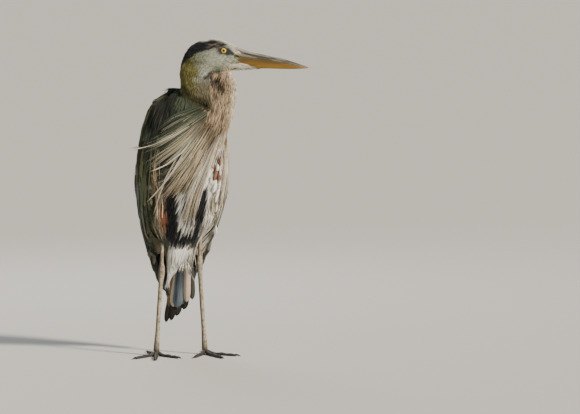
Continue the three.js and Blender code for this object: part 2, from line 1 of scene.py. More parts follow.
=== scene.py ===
# %% [markdown]
# # A life-size heron, as a still museum model
# A great blue heron stands on both legs with its neck drawn in and its head turned to its left.
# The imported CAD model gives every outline. This script dresses it: one skin, a coat of small
# feathers, rows of long feathers, breast plumes, and a bill, eyes and legs of their own.
#
# Lengths are in millimetres in the tables and become metres where a point is placed.

# %% Load the frame
import json
import math

import bmesh
import bpy
import numpy as np
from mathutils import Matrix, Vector
from mathutils.bvhtree import BVHTree

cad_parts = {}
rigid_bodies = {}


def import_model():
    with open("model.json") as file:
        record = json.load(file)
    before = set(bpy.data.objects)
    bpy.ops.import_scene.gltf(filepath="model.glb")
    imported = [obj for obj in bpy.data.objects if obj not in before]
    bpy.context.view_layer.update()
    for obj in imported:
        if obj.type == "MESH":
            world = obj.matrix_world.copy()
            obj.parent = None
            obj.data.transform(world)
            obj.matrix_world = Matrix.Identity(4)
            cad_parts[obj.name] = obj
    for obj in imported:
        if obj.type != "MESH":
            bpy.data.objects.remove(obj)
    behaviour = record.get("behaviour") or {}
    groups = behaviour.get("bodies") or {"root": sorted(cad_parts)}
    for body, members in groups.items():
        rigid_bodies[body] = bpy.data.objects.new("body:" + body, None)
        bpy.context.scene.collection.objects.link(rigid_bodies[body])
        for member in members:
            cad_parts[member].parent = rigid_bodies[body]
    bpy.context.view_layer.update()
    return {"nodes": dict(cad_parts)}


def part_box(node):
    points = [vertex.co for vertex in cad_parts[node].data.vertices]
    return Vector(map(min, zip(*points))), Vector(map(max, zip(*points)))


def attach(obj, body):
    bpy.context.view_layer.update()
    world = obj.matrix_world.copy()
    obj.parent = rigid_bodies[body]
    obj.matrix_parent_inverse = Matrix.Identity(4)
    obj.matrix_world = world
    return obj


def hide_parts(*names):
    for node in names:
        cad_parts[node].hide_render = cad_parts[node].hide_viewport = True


for start_object in list(bpy.data.objects):
    bpy.data.objects.remove(start_object)
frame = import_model()
nodes = frame["nodes"]
rng = np.random.default_rng(11)
MM = 0.001
print("nodes in the frame:", len(nodes))

# %% [markdown]
# ## Two ways to say where a thing is
# The bird has its own frame: breast towards -Y, its left side +X. Its head looks along another
# line, turned 15 degrees, and everything on the head and neck is easier to say along that line:
# forward, sideways and height. The CAD was moved to stand in the middle of its box, so the eye
# and the trunk, whose places are known, tell how far.

# %% The look frame
LOOK_TURN = math.radians(-15.0)
NECK_PLANE = -45.0
FORWARD = np.array([math.cos(LOOK_TURN), math.sin(LOOK_TURN), 0.0])
ASIDE = np.array([-math.sin(LOOK_TURN), math.cos(LOOK_TURN), 0.0])
UP = np.array([0.0, 0.0, 1.0])
EYE = {"forward": 90.5, "side": 12.4, "height": 645.5, "radius": 7.6}


def middle(node):
    low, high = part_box(node)
    return np.array((low + high) / 2) / MM


def from_look(points):
    """Look-frame millimetres (forward, aside, height) to millimetres in the bird's frame."""
    p = np.atleast_2d(np.asarray(points, float))
    return p[:, :1] * FORWARD + (p[:, 1:2] + NECK_PLANE) * ASIDE + p[:, 2:] * UP


eye_place = from_look([[EYE["forward"], -EYE["side"], EYE["height"]]])[0]
SHIFT = np.array([middle("trunk")[0], middle("eye_right")[1] - eye_place[1], 0.0])


def place(points):
    """Bird-frame millimetres to the row frame's metres."""
    return (np.atleast_2d(np.asarray(points, float)) + SHIFT) * MM


def place_look(points):
    return place(from_look(points))


def to_bird(places):
    return np.atleast_2d(places) / MM - SHIFT


def to_look(places):
    bird = to_bird(places)
    aside = bird @ ASIDE - NECK_PLANE
    return np.stack([bird @ FORWARD, aside, bird[:, 2]], axis=1)


print("the CAD was moved by", SHIFT.round(2), "mm")

# %% [markdown]
# ## One form under all the feathers
# The flesh of the CAD model is a dozen solids that meet with thin gaps. A voxel remesh melts
# copies of them into one closed surface. That surface is the outside of the coat. It is kept
# as a tree for casting rays at, because feathers are laid on it, and the skin is made from it.

# %% Melt the flesh solids into one form
FLESH = ("trunk", "head", "neck_lower", "neck_upper", "thigh_left", "thigh_right", "undertail")
WINGS = ("mantle", "wing_left_coverts", "wing_right_coverts")
VOXEL = 2.8 * MM


def new_object(name, data):
    made = bpy.data.objects.new(name, data)
    bpy.context.scene.collection.objects.link(made)
    return made


def applied(made, name):
    """The object's mesh with its modifiers run, and the object removed."""
    graph = bpy.context.evaluated_depsgraph_get()
    graph.update()
    mesh = bpy.data.meshes.new_from_object(made.evaluated_get(graph))
    mesh.name = name
    old = made.data
    bpy.data.objects.remove(made)
    if old.users == 0:
        bpy.data.meshes.remove(old)
    return mesh


def coordinates(mesh, what="vertices", key="co"):
    items = getattr(mesh, what)
    values = np.empty(len(items) * 3, np.float32)
    items.foreach_get(key, values)
    return values.reshape(-1, 3).astype(float)


def melted(name, node_names):
    form = bmesh.new()
    for node_name in node_names:
        form.from_mesh(nodes[node_name].data)
    bmesh.ops.remove_doubles(form, verts=form.verts, dist=1e-6)
    mesh = bpy.data.meshes.new(name)
    form.to_mesh(mesh)
    form.free()
    made = new_object(name, mesh)
    remesh = made.modifiers.new("melt", "REMESH")
    remesh.mode, remesh.voxel_size = "VOXEL", VOXEL
    return applied(made, name)


def largest_part(mesh):
    """Drops the small closed pockets that a remesh leaves between solids."""
    form = bmesh.new()
    form.from_mesh(mesh)
    form.verts.ensure_lookup_table()
    left = set(form.verts)
    parts = []
    while left:
        part = [left.pop()]
        for vertex in part:
            linked = {edge.other_vert(vertex) for edge in vertex.link_edges} & left
            part.extend(linked)
            left -= linked
        parts.append(part)
    parts.sort(key=len)
    for part in parts[:-1]:
        bmesh.ops.delete(form, geom=part)
    form.to_mesh(mesh)
    form.free()
    return mesh


skin_mesh = largest_part(melted("skin", FLESH + WINGS + ("crest", "eye_left", "eye_right")))
print("melted form:", len(skin_mesh.polygons), "faces")

# %% Smooth it, and keep its surface for casting rays at
edges = np.empty(len(skin_mesh.edges) * 2, np.int64)
skin_mesh.edges.foreach_get("vertices", edges)
edges = edges.reshape(-1, 2)
degree = np.bincount(edges.ravel(), minlength=len(skin_mesh.vertices))[:, None]


def smoothed(values, rounds, weight=0.5):
    """Evens out one value or vector for each vertex with those of its neighbours."""
    for _ in range(rounds):
        total = np.zeros_like(values)
        for column in range(values.shape[1]):
            total[:, column] = np.bincount(
                edges[:, 0], values[edges[:, 1], column], len(values)
            ) + np.bincount(edges[:, 1], values[edges[:, 0], column], len(values))
        values = values + weight * (total / degree - values)
    return values


def set_places(mesh, places):
    mesh.vertices.foreach_set("co", places.astype(np.float32).ravel())
    mesh.update()


coat_places = smoothed(coordinates(skin_mesh), 6)
set_places(skin_mesh, coat_places)
coat_normals = coordinates(skin_mesh, "vertex_normals", "vector")


def tree_of(mesh):
    corners = [tuple(v) for v in coordinates(mesh)]
    return BVHTree.FromPolygons(corners, [tuple(p.vertices) for p in mesh.polygons])


coat_tree = tree_of(skin_mesh)

# %% Which CAD node each point of the skin came from
node_trees = {name: tree_of(nodes[name].data) for name in FLESH + WINGS + ("crest",)}
zone_names = list(node_trees)
ZONE_SEARCH = 0.02
zone_of = np.argmin([
    [tree.find_nearest(Vector(p), ZONE_SEARCH)[3] or 1.0 for tree in node_trees.values()]
    for p in coat_places
], axis=1)


def near(*names):
    """For each skin vertex, 1 on the named nodes, fading out over a few millimetres."""
    mask = np.zeros(len(coat_places))
    for name in names:
        mask[zone_of == zone_names.index(name)] = 1.0
    return smoothed(mask[:, None], 4)[:, 0]


print("vertices by node:", {n: int((zone_of == i).sum()) for i, n in enumerate(zone_names)})

# %% [markdown]
# ## Markings
# The same function colours the skin and every feather that stands on it, so that a gap between
# two feathers never shows a wrong colour. Each marking is a soft-edged shape: an oval, or a band
# along a few corners. They are painted one over another, back to front, in the look frame where
# they belong to the head, the neck and the breast, and by angle round the body elsewhere.

# %% Colours of the plumage, and soft shapes to paint them with
BLACK = (0.012, 0.013, 0.016)
INK = (0.028, 0.030, 0.034)
SLATE = (0.125, 0.150, 0.155)
# slate as it looks in shade, dark and green-tinted: a painted shade colour
SLATE_IN_SHADE = (0.046, 0.060, 0.036)
# the breast's grey, darkened as painted shade under the plumes
SMOKE = (0.050, 0.062, 0.046)
# the upper neck's grey in shade with green reflected light: a painted shade colour
NECK_OLIVE_IN_SHADE = (0.150, 0.136, 0.042)
GREY_OLIVE = (0.300, 0.290, 0.215)
FACE_WHITE = (0.600, 0.585, 0.480)
# the face's white feathers as they look in shade, grey-green: a painted shade colour
FACE_IN_GREEN_SHADE = (0.275, 0.292, 0.222)
WHITE = (0.860, 0.835, 0.770)
CREAM = (0.690, 0.590, 0.440)
BUFF = (0.430, 0.310, 0.190)
FAWN = (0.400, 0.300, 0.200)
UMBER = (0.110, 0.078, 0.055)
CHESTNUT = (0.180, 0.078, 0.040)
PINKISH = (0.330, 0.240, 0.200)
NECK_BLUE = (0.330, 0.350, 0.315)
EDGE_CREAM = (0.820, 0.730, 0.570)
NECK_SHADOW_BROWN = (0.135, 0.115, 0.075)
NECK_EDGE_SHADOW = (0.042, 0.038, 0.018)
DEEP_BROWN = (0.036, 0.026, 0.019)
BROWN_IN_SHADE = (0.085, 0.075, 0.045)
YELLOW = (0.720, 0.520, 0.060)


def step(low, high, value):
    """0 below low, 1 above high, and a smooth rise between them."""
    t = np.clip((value - low) / (high - low), 0.0, 1.0)
    return t * t * (3.0 - 2.0 * t)


def fall(low, high, value):
    return 1.0 - step(low, high, value)


def oval(a, b, centre, half, turn=0.0, soft=0.35):
    """1 inside an oval of the (a, b) plane, falling to 0 over the soft share of its size."""
    c, s = math.cos(math.radians(turn)), math.sin(math.radians(turn))
    x, y = a - centre[0], b - centre[1]
    far = np.hypot((c * x + s * y) / half[0], (c * y - s * x) / half[1])
    return fall(1.0 - soft, 1.0 + soft, far)


def band(a, b, corners, half, soft=0.4):
    """1 within half a width of a line of corners (a, b) or (a, b, half width)."""
    best = np.full(len(a), 1e9)
    for first, last in zip(corners, corners[1:]):
        along = np.array(last[:2], float) - first[:2]
        t = ((a - first[0]) * along[0] + (b - first[1]) * along[1]) / (along @ along)
        t = np.clip(t, 0.0, 1.0)
        far = np.hypot(a - first[0] - t * along[0], b - first[1] - t * along[1])
        if len(first) > 2:
            far = far / (first[2] + t * (last[2] - first[2])) * half
        best = np.minimum(best, far)
    return fall(half * (1.0 - soft), half * (1.0 + soft), best)


def near_line(points, corners, reach):
    """1 near a line of three-dimensional corners, falling to 0 at reach."""
    best = np.full(len(points), 1e9)
    for first, last in zip(corners, corners[1:]):
        first, along = np.array(first, float), np.array(last, float) - first
        t = np.clip((points - first) @ along / (along @ along), 0.0, 1.0)[:, None]
        best = np.minimum(best, np.linalg.norm(points - first - t * along, axis=1))
    return fall(reach * 0.8, reach, best)


def ripple(places, scale, seed):
    """A smooth pseudo-random value from -1 to 1, from a few turned waves."""
    waves = np.random.default_rng(seed)
    total = np.zeros(places.shape[:-1])
    for _ in range(7):
        direction = waves.normal(size=3)
        direction /= np.linalg.norm(direction)
        pitch = scale * waves.uniform(0.6, 1.6)
        total += np.sin(places @ direction * (2 * math.pi / pitch) + waves.uniform(0, 6.3))
    return np.clip(total / 3.2, -1.0, 1.0)


# %% What is being painted
class Canvas:
    """The places that are being painted, their colours so far, and masks that several parts use."""

    def __init__(self, places, normals):
        self.look, self.bird = to_look(places), to_bird(places)
        self.front = step(-0.25, 0.15, -(normals @ ASIDE))
        self.grain = ripple(self.bird, 9.0, 1)
        self.colour = np.tile(np.array(SLATE), (len(places), 1))

    def paint(self, mask, shade):
        weight = np.clip(mask, 0.0, 1.0)[:, None]
        self.colour = self.colour * (1 - weight) + np.array(shade) * weight


# %% The body's markings
BREAST_TURN = 78.0  # degrees round from the breast to where the wings' colours begin
TRUNK_LINE = 5.0  # how far back the trunk's middle lies


def paint_body(canvas):
    paint, front, grain, bird = canvas.paint, canvas.front, canvas.grain, canvas.bird
    u, _, z = canvas.look.T
    x, y, _ = bird.T
    turn = np.degrees(np.abs(np.arctan2(x, TRUNK_LINE - y)))
    # the slate in shade in random patches, then painted shade over the bird's right side
    paint(step(0.2, 0.9, ripple(bird, 60.0, 3)) * 0.5, SLATE_IN_SHADE)
    paint(step(-12, 22, -x) * step(-70, -30, -y) * 0.9, SLATE_IN_SHADE)
    breast = fall(BREAST_TURN - 30, BREAST_TURN - 4, turn) * fall(560, 600, z)
    # the breast under the plumes in painted shade, dark green-grey
    paint(breast * front, SMOKE)
    # the lower breast is cream and white, ragged above
    edge = 455 + 0.75 * (u - 20) + 14 * grain
    paint(front * breast * fall(edge - 60, edge, z), CREAM)
    pale = band(u, z, [(60, 400), (30, 330), (10, 270)], 34, 0.4)
    paint(front * pale * fall(400, 450, z), WHITE)
    # painted shade, dark brown, low on the breast on the bird's right
    paint(front * breast * fall(-48, -36, u) * fall(400, 440, z) * 0.85, BROWN_IN_SHADE)
    # black belly: a stripe on the bird's right, a patch on its left, and the lower belly
    paint(front * band(u, z, [(-14, 400, 7), (-20, 330, 17), (-20, 262, 19), (-8, 236, 15)], 16), BLACK)
    paint(front * band(u, z, [(52, 352, 8), (46, 320, 12), (40, 285, 11), (34, 262, 8)], 11), BLACK)
    paint(front * oval(u, z, (20, 246), (25, 21)), BLACK)
    paint(front * band(u, z, [(34, 388), (16, 318), (14, 276)], 17, 0.3) * step(-0.5, 0.3, grain), WHITE)
    flank = band(u, z, [(84, 440, 9), (82, 380, 12), (74, 310, 15), (52, 250, 11), (40, 215, 7)], 12)
    paint(front * flank, WHITE)
    # chestnut and white at the bend of the left wing, chestnut thighs
    bend = oval(u, z, (81, 418), (9, 48), 4, 0.25)
    paint(bend * step(-0.3, 0.2, -y), CHESTNUT)
    paint(bend * step(-0.3, 0.2, -y) * step(0.1, 0.5, ripple(bird, 13.0, 5)), WHITE)
    paint(front * oval(u, z, (-39, 303), (8, 34), 4), CHESTNUT)
    # painted shade in dark green-grey over the shoulders, then the black shoulder patch
    paint(front * step(490, 520, z) * fall(30, 50, u) * 0.9, SLATE_IN_SHADE)
    paint(front * band(u, z, [(-38, 552, 20), (-42, 528, 22), (-46, 496, 10)], 20, 0.2), BLACK)
    # white under the tail
    paint(step(-40, -5, 90 - turn + 100 * fall(236, 262, z)) * fall(222, 240, z), WHITE)
    # painted shade, grey, on the lobe under the tail on the bird's left
    paint(front * oval(u, z, (26, 206), (11, 30), 0, 0.5) * 0.6, GREY_OLIVE)


# %% The neck's markings
def paint_neck(canvas):
    paint, look = canvas.paint, canvas.look
    u, d, z = look.T
    lower = near_line(look, [(93, 0, 600), (90, 0, 549), (83, 0, 521), (71, 2, 490), (57, 6, 460)], 46)
    paint(lower * step(452, 492, z), FAWN)
    streak = ripple(np.stack([u * 2.6, d * 2.6, z * 0.45], axis=1), 17.0, 7)
    paint(lower * step(452, 492, z) * step(0.15, 0.65, streak) * 0.85, UMBER)
    rim = 118 - 0.0022 * (z - 548) ** 2
    edge_white = lower * step(rim - 14, rim - 6, u) * step(452, 480, z)
    paint(edge_white * 0.9, EDGE_CREAM)
    paint(edge_white * step(0.45, 0.8, ripple(look, 9.0, 9)) * 0.5, UMBER)
    paint(lower * step(0.45, 0.8, ripple(look, 15.0, 10)) * 0.5 * step(452, 480, z), BUFF)
    bend = [(60, 0, 640), (35, 0, 616), (27, 0, 598), (28, 0, 576), (41, 0, 560), (66, 0, 560)]
    upper = near_line(look, bend, 42)
    upper = upper * fall(0.3, 0.7, lower * step(-4, 6, u - 62))
    # the upper neck in painted shade, olive from green reflected light
    paint(upper, NECK_OLIVE_IN_SHADE)
    paint(upper * oval(u, z, (57, 600), (16, 28), -10, 0.6), NECK_BLUE)
    # a painted shadow, brown-grey, low on the upper neck below the cheek
    paint(upper * oval(u, z, (52, 560), (24, 24), -20, 0.8), NECK_SHADOW_BROWN)
    # a painted shadow, dark olive, along the lower bend of the neck
    paint(upper * band(u, z, [(4, 572, 4), (20, 547, 8), (50, 536, 10)], 9, 0.7) * 0.85, NECK_EDGE_SHADOW)
    paint(upper * oval(u, z, (34, 586), (10, 5), -8, 0.6) * 0.7, GREY_OLIVE)
    paint(upper * oval(u, z, (55, 594), (5, 5), 0, 0.6) * 0.8, FACE_WHITE)
    # painted shadow in the crease under the cheek, and in the hollow beside the foreneck, where dark streaks
    # are also real
    crease = band(u, z, [(52, 588, 3), (60, 595, 5), (70, 600, 5), (88, 602, 4)], 5)
    hollow = band(u, z, [(62, 590, 6), (73, 580, 11), (88, 558, 5)], 9) * step(-0.9, -0.1, streak)
    paint(np.maximum(crease, hollow) * 0.95, DEEP_BROWN)


# %% The head's markings, and all of them together
def paint_head(canvas):
    paint, look = canvas.paint, canvas.look
    u, d, z = look.T
    head = step(598, 606, z) * near_line(look, [(20, 0, 628), (60, 0, 638), (125, 0, 628)], 46)
    back = step(28, 66, u + 0.5 * (z - 600))
    # the face in painted shade, grey-green, with white patches laid over it
    paint(head * back, FACE_IN_GREEN_SHADE)
    speckle = step(-0.15, 0.35, ripple(look, 5.0, 13))
    paint(head * back * oval(u, z, (104, 624), (30, 17), -8, 0.45) * speckle * 0.9, FACE_WHITE)
    paint(head * back * oval(u, z, (72, 634), (16, 12), 20, 0.8) * 0.35, FACE_WHITE)
    paint(head * back * oval(u, z, (62, 616), (12, 9), 0, 0.8) * 0.4, FACE_WHITE)
    paint(head * step(98, 108, u) * step(636, 642, z), FACE_WHITE)
    nape = np.interp(u, [-8, -1, 7, 17, 37, 63, 77, 90, 102], [590, 604, 620, 630, 642, 648, 651, 655, 661])
    above = step(nape - 2.0, nape + 2.5, z)
    stripe = above * fall(99, 110, u)
    stripe = stripe * step(610, 622, z)
    stripe = stripe * near_line(look, [(-2, 0, 590), (12, 0, 625), (40, 0, 652), (100, 0, 650)], 34)
    paint(stripe, BLACK)
    mottle = ripple(np.stack([u * 0.5, d, z * 1.6], axis=1), 7.0, 11)
    paint(stripe * step(48, 70, u) * step(0.1, 0.6, mottle) * 0.6, PINKISH)
    off_crown = np.abs(d) - 0.35 * np.clip(u - 96, 0, 30)
    crown = step(40, 56, u) * fall(8.0, 11.5, off_crown) * step(650, 658, z)
    paint(crown, FACE_WHITE)
    paint(crown * fall(3.0, 8.0, np.abs(d)), WHITE)
    lores = band(u, z, [(79, 645, 4), (84, 645, 8), (96, 644, 8.4), (106, 640, 4.6), (122, 635, 2.6)], 7, 0.3)
    paint(lores, BLACK)
    paint(oval(u, z, (116, 641.5), (5.5, 2.4), -14, 0.4), YELLOW)
    throat = fall(606, 616, z) * step(80, 96, u) * fall(8, 20, np.abs(d)) * head
    paint(throat, CREAM)


def markings(places, normals):
    """A colour for each place on the bird, of its skin or of a feather's root."""
    canvas = Canvas(places, normals)
    for paint_part in (paint_body, paint_neck, paint_head):
        paint_part(canvas)
    return np.clip(canvas.colour * (1 + 0.10 * canvas.grain[:, None]), 0.0, 1.0)


# %% [markdown]
# ## The lie of the coat
# Feathers point from the bill backwards over the head, down the neck, and down the body to the
# tail. Guide lines say that at a few places; every other point takes a blend of the guides
# around it, the nearer the more, laid flat on the surface. A breast like this one, with its long
# plumes blown to one side, only needs guides that slant.

# %% Guide lines, in the look frame and in the bird's frame
LOOK_GUIDES = (
    # over the crown and down the nape
    ((128, 0, 640), (100, 0, 662), (66, 0, 672), (30, 0, 660), (8, 0, 630), (-4, 0, 600), (-2, 0, 560)),
    # both cheeks
    *[((118, d, 622), (85, d + e * 6, 620), (55, d + e * 11, 614), (36, d + e * 12, 596),
       (30, d + e * 13, 570), (40, d + e * 12, 548)) for d, e in ((14, 1), (-14, -1))],
    # the chin, and down the throat
    ((160, 0, 606), (120, 0, 604), (92, 0, 604)),
    ((78, 0, 606), (104, 0, 601), (118, 0, 580), (121, 0, 548), (113, 0, 515), (98, 0, 478), (84, 0, 440)),
    # the neck's right side, then its left
    ((92, -24, 600), (92, -28, 560), (86, -32, 525), (70, -38, 485), (44, -44, 440), (10, -50, 395)),
    ((92, 24, 600), (92, 28, 560), (86, 32, 525), (76, 38, 485), (66, 44, 440)),
    # aslant over the breast
    ((50, -60, 500), (10, -62, 460), (-30, -60, 420), (-50, -50, 360)),
    ((80, -50, 470), (50, -60, 400), (20, -55, 330), (0, -30, 270)),
)
BIRD_GUIDES = (
    # the flanks
    ((70, -60, 450), (66, -50, 350), (40, -20, 260), (30, 0, 200)),
    ((-70, -50, 500), (-84, -40, 400), (-76, -20, 300), (-50, 10, 220)),
    # both wings, and the back between them
    *[((e * 92, -10, 500), (e * 98, 10, 380), (e * 80, 35, 270), (e * 40, 56, 160), (e * 16, 64, 100))
      for e in (1, -1)],
    ((0, 40, 560), (0, 72, 420), (0, 72, 260), (0, 64, 130)),
    # under the tail
    ((0, 0, 262), (-9, 22, 204), (-23, 36, 150)),
    ((18, 12, 240), (22, 26, 190), (21, 29, 165)),
)


def guide_pieces():
    starts, ends = [], []
    for guides, put in ((LOOK_GUIDES, from_look), (BIRD_GUIDES, np.array)):
        for guide in guides:
            line = put(guide)
            starts += list(line[:-1])
            ends += list(line[1:])
    return np.array(starts, float), np.array(ends, float)


def lie_of_coat(places, normals, blend=14.0):
    """The direction in which a feather on each place points, along the surface."""
    points = to_bird(places)
    total = np.zeros_like(points)
    for start, end in zip(*guide_pieces()):
        along = end - start
        t = np.clip((points - start) @ along / (along @ along), 0.0, 1.0)[:, None]
        far = np.sum((points - start - t * along) ** 2, axis=1)
        weight = 1.0 / (far + blend**2) ** 1.5
        total += weight[:, None] * along / np.linalg.norm(along)
    flat = total - np.sum(total * normals, axis=1)[:, None] * normals
    return flat / np.maximum(np.linalg.norm(flat, axis=1), 1e-9)[:, None]


COAT = {  # how far a feather reaches from its root along the body, and how deep the coat is
    "head": (3.0, 1.6), "crest": (5.0, 1.8), "neck_upper": (5.0, 3.0), "neck_lower": (9.0, 3.6),
    "thigh_left": (10.0, 3.0), "thigh_right": (10.0, 3.0), "undertail": (10.0, 3.5),
    "trunk": (14.0, 6.0), "mantle": (10.0, 5.0), "wing_left_coverts": (10.0, 4.5),
    "wing_right_coverts": (10.0, 4.5),
}
coat_reach, coat_depth = np.array([COAT[zone_names[i]] for i in zone_of]).T * MM
stand = smoothed(coat_normals, 24)
firm = np.linalg.norm(stand, axis=1)
stand /= np.maximum(firm, 1e-6)[:, None]
broad = step(0.45, 0.75, firm) * step(0.45, 0.7, np.sum(stand * coat_normals, axis=1))
lie = lie_of_coat(coat_places, stand)
hang = smoothed(coat_reach[:, None], 6)
colours = markings(coat_places + lie * hang, stand)
print("mean colour of the coat:", colours.mean(axis=0).round(3))

# %% [markdown]
# ## The skin
# The skin is the melted form, drawn in along its normals by the depth of the coat: a couple of
# millimetres on the face, where feathers are like scales, and more on the body. It gets an
# unwrap of its own, because each feather later takes its patch of colour from the place on that
# unwrap where it grows.

# %% Draw the skin in by the depth of the coat
depth = smoothed(coat_depth[:, None], 8)
set_places(skin_mesh, smoothed(coat_places - coat_normals * depth, 2))


def store(mesh, name, kind, values, domain="POINT", field="value"):
    attribute = mesh.attributes.new(name, kind, domain)
    attribute.data.foreach_set(field, np.asarray(values, np.float32).ravel())


def with_alpha(rgb):
    return np.column_stack([rgb, np.ones(len(rgb))])


store(skin_mesh, "marking", "FLOAT_COLOR", with_alpha(colours), field="color")
store(skin_mesh, "lie", "FLOAT_VECTOR", lie, field="vector")
store(skin_mesh, "stand", "FLOAT_VECTOR", stand, field="vector")

# %% Unwrap the skin
BAKE_MAP = "OFBake"
skin = new_object("skin", skin_mesh)
skin_mesh.uv_layers.new(name=BAKE_MAP)
bpy.context.view_layer.objects.active = skin
skin.select_set(True)
bpy.ops.object.mode_set(mode="EDIT")
bpy.ops.mesh.select_all(action="SELECT")
bpy.ops.uv.smart_project(angle_limit=math.radians(66), island_margin=0.002)
bpy.ops.object.mode_set(mode="OBJECT")
print("skin:", len(skin_mesh.polygons), "faces, unwrapped")


# %% Helpers that finish a mesh and make a piece of it
def shade_smooth(mesh):
    mesh.polygons.foreach_set("use_smooth", np.ones(len(mesh.polygons), bool))


def closed_outwards(mesh):
    """Turns the faces of a closed mesh to look out of it."""
    form = bmesh.new()
    form.from_mesh(mesh)
    bmesh.ops.recalc_face_normals(form, faces=form.faces)
    form.to_mesh(mesh)
    form.free()


def show(name, mesh, material=None, replaced=()):
    """Makes a visible piece of a mesh, and says what it rides on, is made of and stands for."""
    if material:
        mesh.materials.append(material)
    shade_smooth(mesh)
    piece = new_object(name, mesh)
    print(f"{name}: {sum(len(p.vertices) - 2 for p in mesh.polygons)} triangles")
    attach(piece, "root")
    if replaced:
        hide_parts(*replaced)


shade_smooth(skin_mesh)

# %% [markdown]
# ## Materials
# A feather is a flat shaft with barbs that run out from it at a slant. One node group draws that
# for every feather from the feather's own map: across the vane in x, root to tip in y. It gives
# a mask for the shaft, one for the rim and a height for the barbs, and each material decides
# what to do with them.


# %% Helpers for shader and geometry nodes
def feed(tree, socket, value):
    """Links another node's output to a socket, or sets the value of the socket itself."""
    if hasattr(value, "is_output"):
        tree.links.new(value, socket)
    else:
        socket.default_value = value


def add_node(tree, kind, inputs=None, **settings):
    made = tree.nodes.new(kind)
    for key, value in settings.items():
        setattr(made, key, value)
    for key, value in (inputs or {}).items():
        feed(tree, made.inputs[key], value)
    return made


def math_node(tree, operation, *values, clamp=False):
    made = tree.nodes.new("ShaderNodeMath")
    made.operation, made.use_clamp = operation, clamp
    for socket, value in zip(made.inputs, values):
        feed(tree, socket, value)
    return made.outputs[0]


def vector_node(tree, operation, inputs):
    return add_node(tree, "ShaderNodeVectorMath", inputs, operation=operation).outputs["Vector"]


def attribute_node(tree, name, output="Color"):
    return add_node(tree, "ShaderNodeAttribute", attribute_name=name).outputs[output]


def bump_node(tree, height, strength, distance, invert=False):
    sockets = {"Height": height, "Strength": strength, "Distance": distance}
    return add_node(tree, "ShaderNodeBump", sockets, invert=invert).outputs["Normal"]


def new_group(name, kind, inputs, outputs):
    """inputs and outputs: kinds of socket by their labels."""
    tree = bpy.data.node_groups.new(name, kind)
    for direction, sockets in (("INPUT", inputs), ("OUTPUT", outputs)):
        for label, socket_kind in sockets.items():
            tree.interface.new_socket(label, in_out=direction, socket_type="NodeSocket" + socket_kind)
    return tree, tree.nodes.new("NodeGroupInput").outputs, tree.nodes.new("NodeGroupOutput").inputs


def new_material(name):
    material = bpy.data.materials.new(name)
    material.use_nodes = True
    return material, material.node_tree


def set_surface(tree, sockets):
    for key, value in sockets.items():
        feed(tree, tree.nodes["Principled BSDF"].inputs[key], value)


# %% The pattern of one feather, as a node group
VANE_MAP = "Vane"
vane_tree, vane_in, vane_out = new_group(
    "vane_pattern", "ShaderNodeTree",
    {"Vane": "Vector", "Barbs": "Float", "Shaft Width": "Float", "Slant": "Float"},
    {"Shaft": "Float", "Rim": "Float", "Barb Height": "Float"})
split = add_node(vane_tree, "ShaderNodeSeparateXYZ", {"Vector": vane_in["Vane"]})
off_centre = math_node(vane_tree, "SUBTRACT", split.outputs["X"], 0.5)
aside = math_node(vane_tree, "MULTIPLY", math_node(vane_tree, "ABSOLUTE", off_centre), 2.0)
within = math_node(vane_tree, "DIVIDE", aside, vane_in["Shaft Width"])
shaft = math_node(vane_tree, "SUBTRACT", 1.0, within, clamp=True)
vane_tree.links.new(shaft, vane_out["Shaft"])
to_tip = math_node(vane_tree, "POWER", split.outputs["Y"], 6.0)
to_edge = math_node(vane_tree, "POWER", aside, 4.0)
rim = math_node(vane_tree, "MAXIMUM", to_tip, to_edge)
vane_tree.links.new(rim, vane_out["Rim"])
backwards = math_node(vane_tree, "MULTIPLY", vane_in["Slant"], -1.0)
slanted = math_node(vane_tree, "MULTIPLY_ADD", aside, backwards, split.outputs["Y"])
turns = math_node(vane_tree, "MULTIPLY", vane_in["Barbs"], 2 * math.pi)
phase = math_node(vane_tree, "MULTIPLY", slanted, turns)
wave = math_node(vane_tree, "MULTIPLY_ADD", math_node(vane_tree, "SINE", phase), 0.5, 0.5)
ridge = math_node(vane_tree, "MULTIPLY_ADD", shaft, 2.0, wave)
vane_tree.links.new(ridge, vane_out["Barb Height"])


# %% Plumage materials, one recipe with its own numbers for each kind of feather
BARB_DEPTH = 0.0004


def plumage(name, barbs, shaft_width, shaft_light, rim_light, roughness, bump, slant=0.5, vary=0.5):
    material, tree = new_material(name)
    vane = add_node(tree, "ShaderNodeUVMap", uv_map=VANE_MAP).outputs["UV"]
    sockets = {"Vane": vane, "Barbs": barbs, "Shaft Width": shaft_width, "Slant": slant}
    pattern = add_node(tree, "ShaderNodeGroup", sockets, node_tree=vane_tree).outputs
    gains = [
        math_node(tree, "MULTIPLY_ADD", value, slope, at_zero)
        for value, slope, at_zero in (
            (attribute_node(tree, "tint", "Fac"), vary, 1.0 - vary / 2),
            (pattern["Barb Height"], 0.12, 0.88),
            (pattern["Shaft"], shaft_light, 1.0),
            (pattern["Rim"], rim_light, 1.0),
        )
    ]
    pair = [math_node(tree, "MULTIPLY", *gains[:2]), math_node(tree, "MULTIPLY", *gains[2:])]
    gain = math_node(tree, "MULTIPLY", *pair)
    set_surface(tree, {
        "Base Color": vector_node(tree, "SCALE", {0: attribute_node(tree, "marking"), "Scale": gain}),
        "Normal": bump_node(tree, pattern["Barb Height"], bump, BARB_DEPTH),
        "Roughness": roughness, "Specular IOR Level": 0.3})
    return material


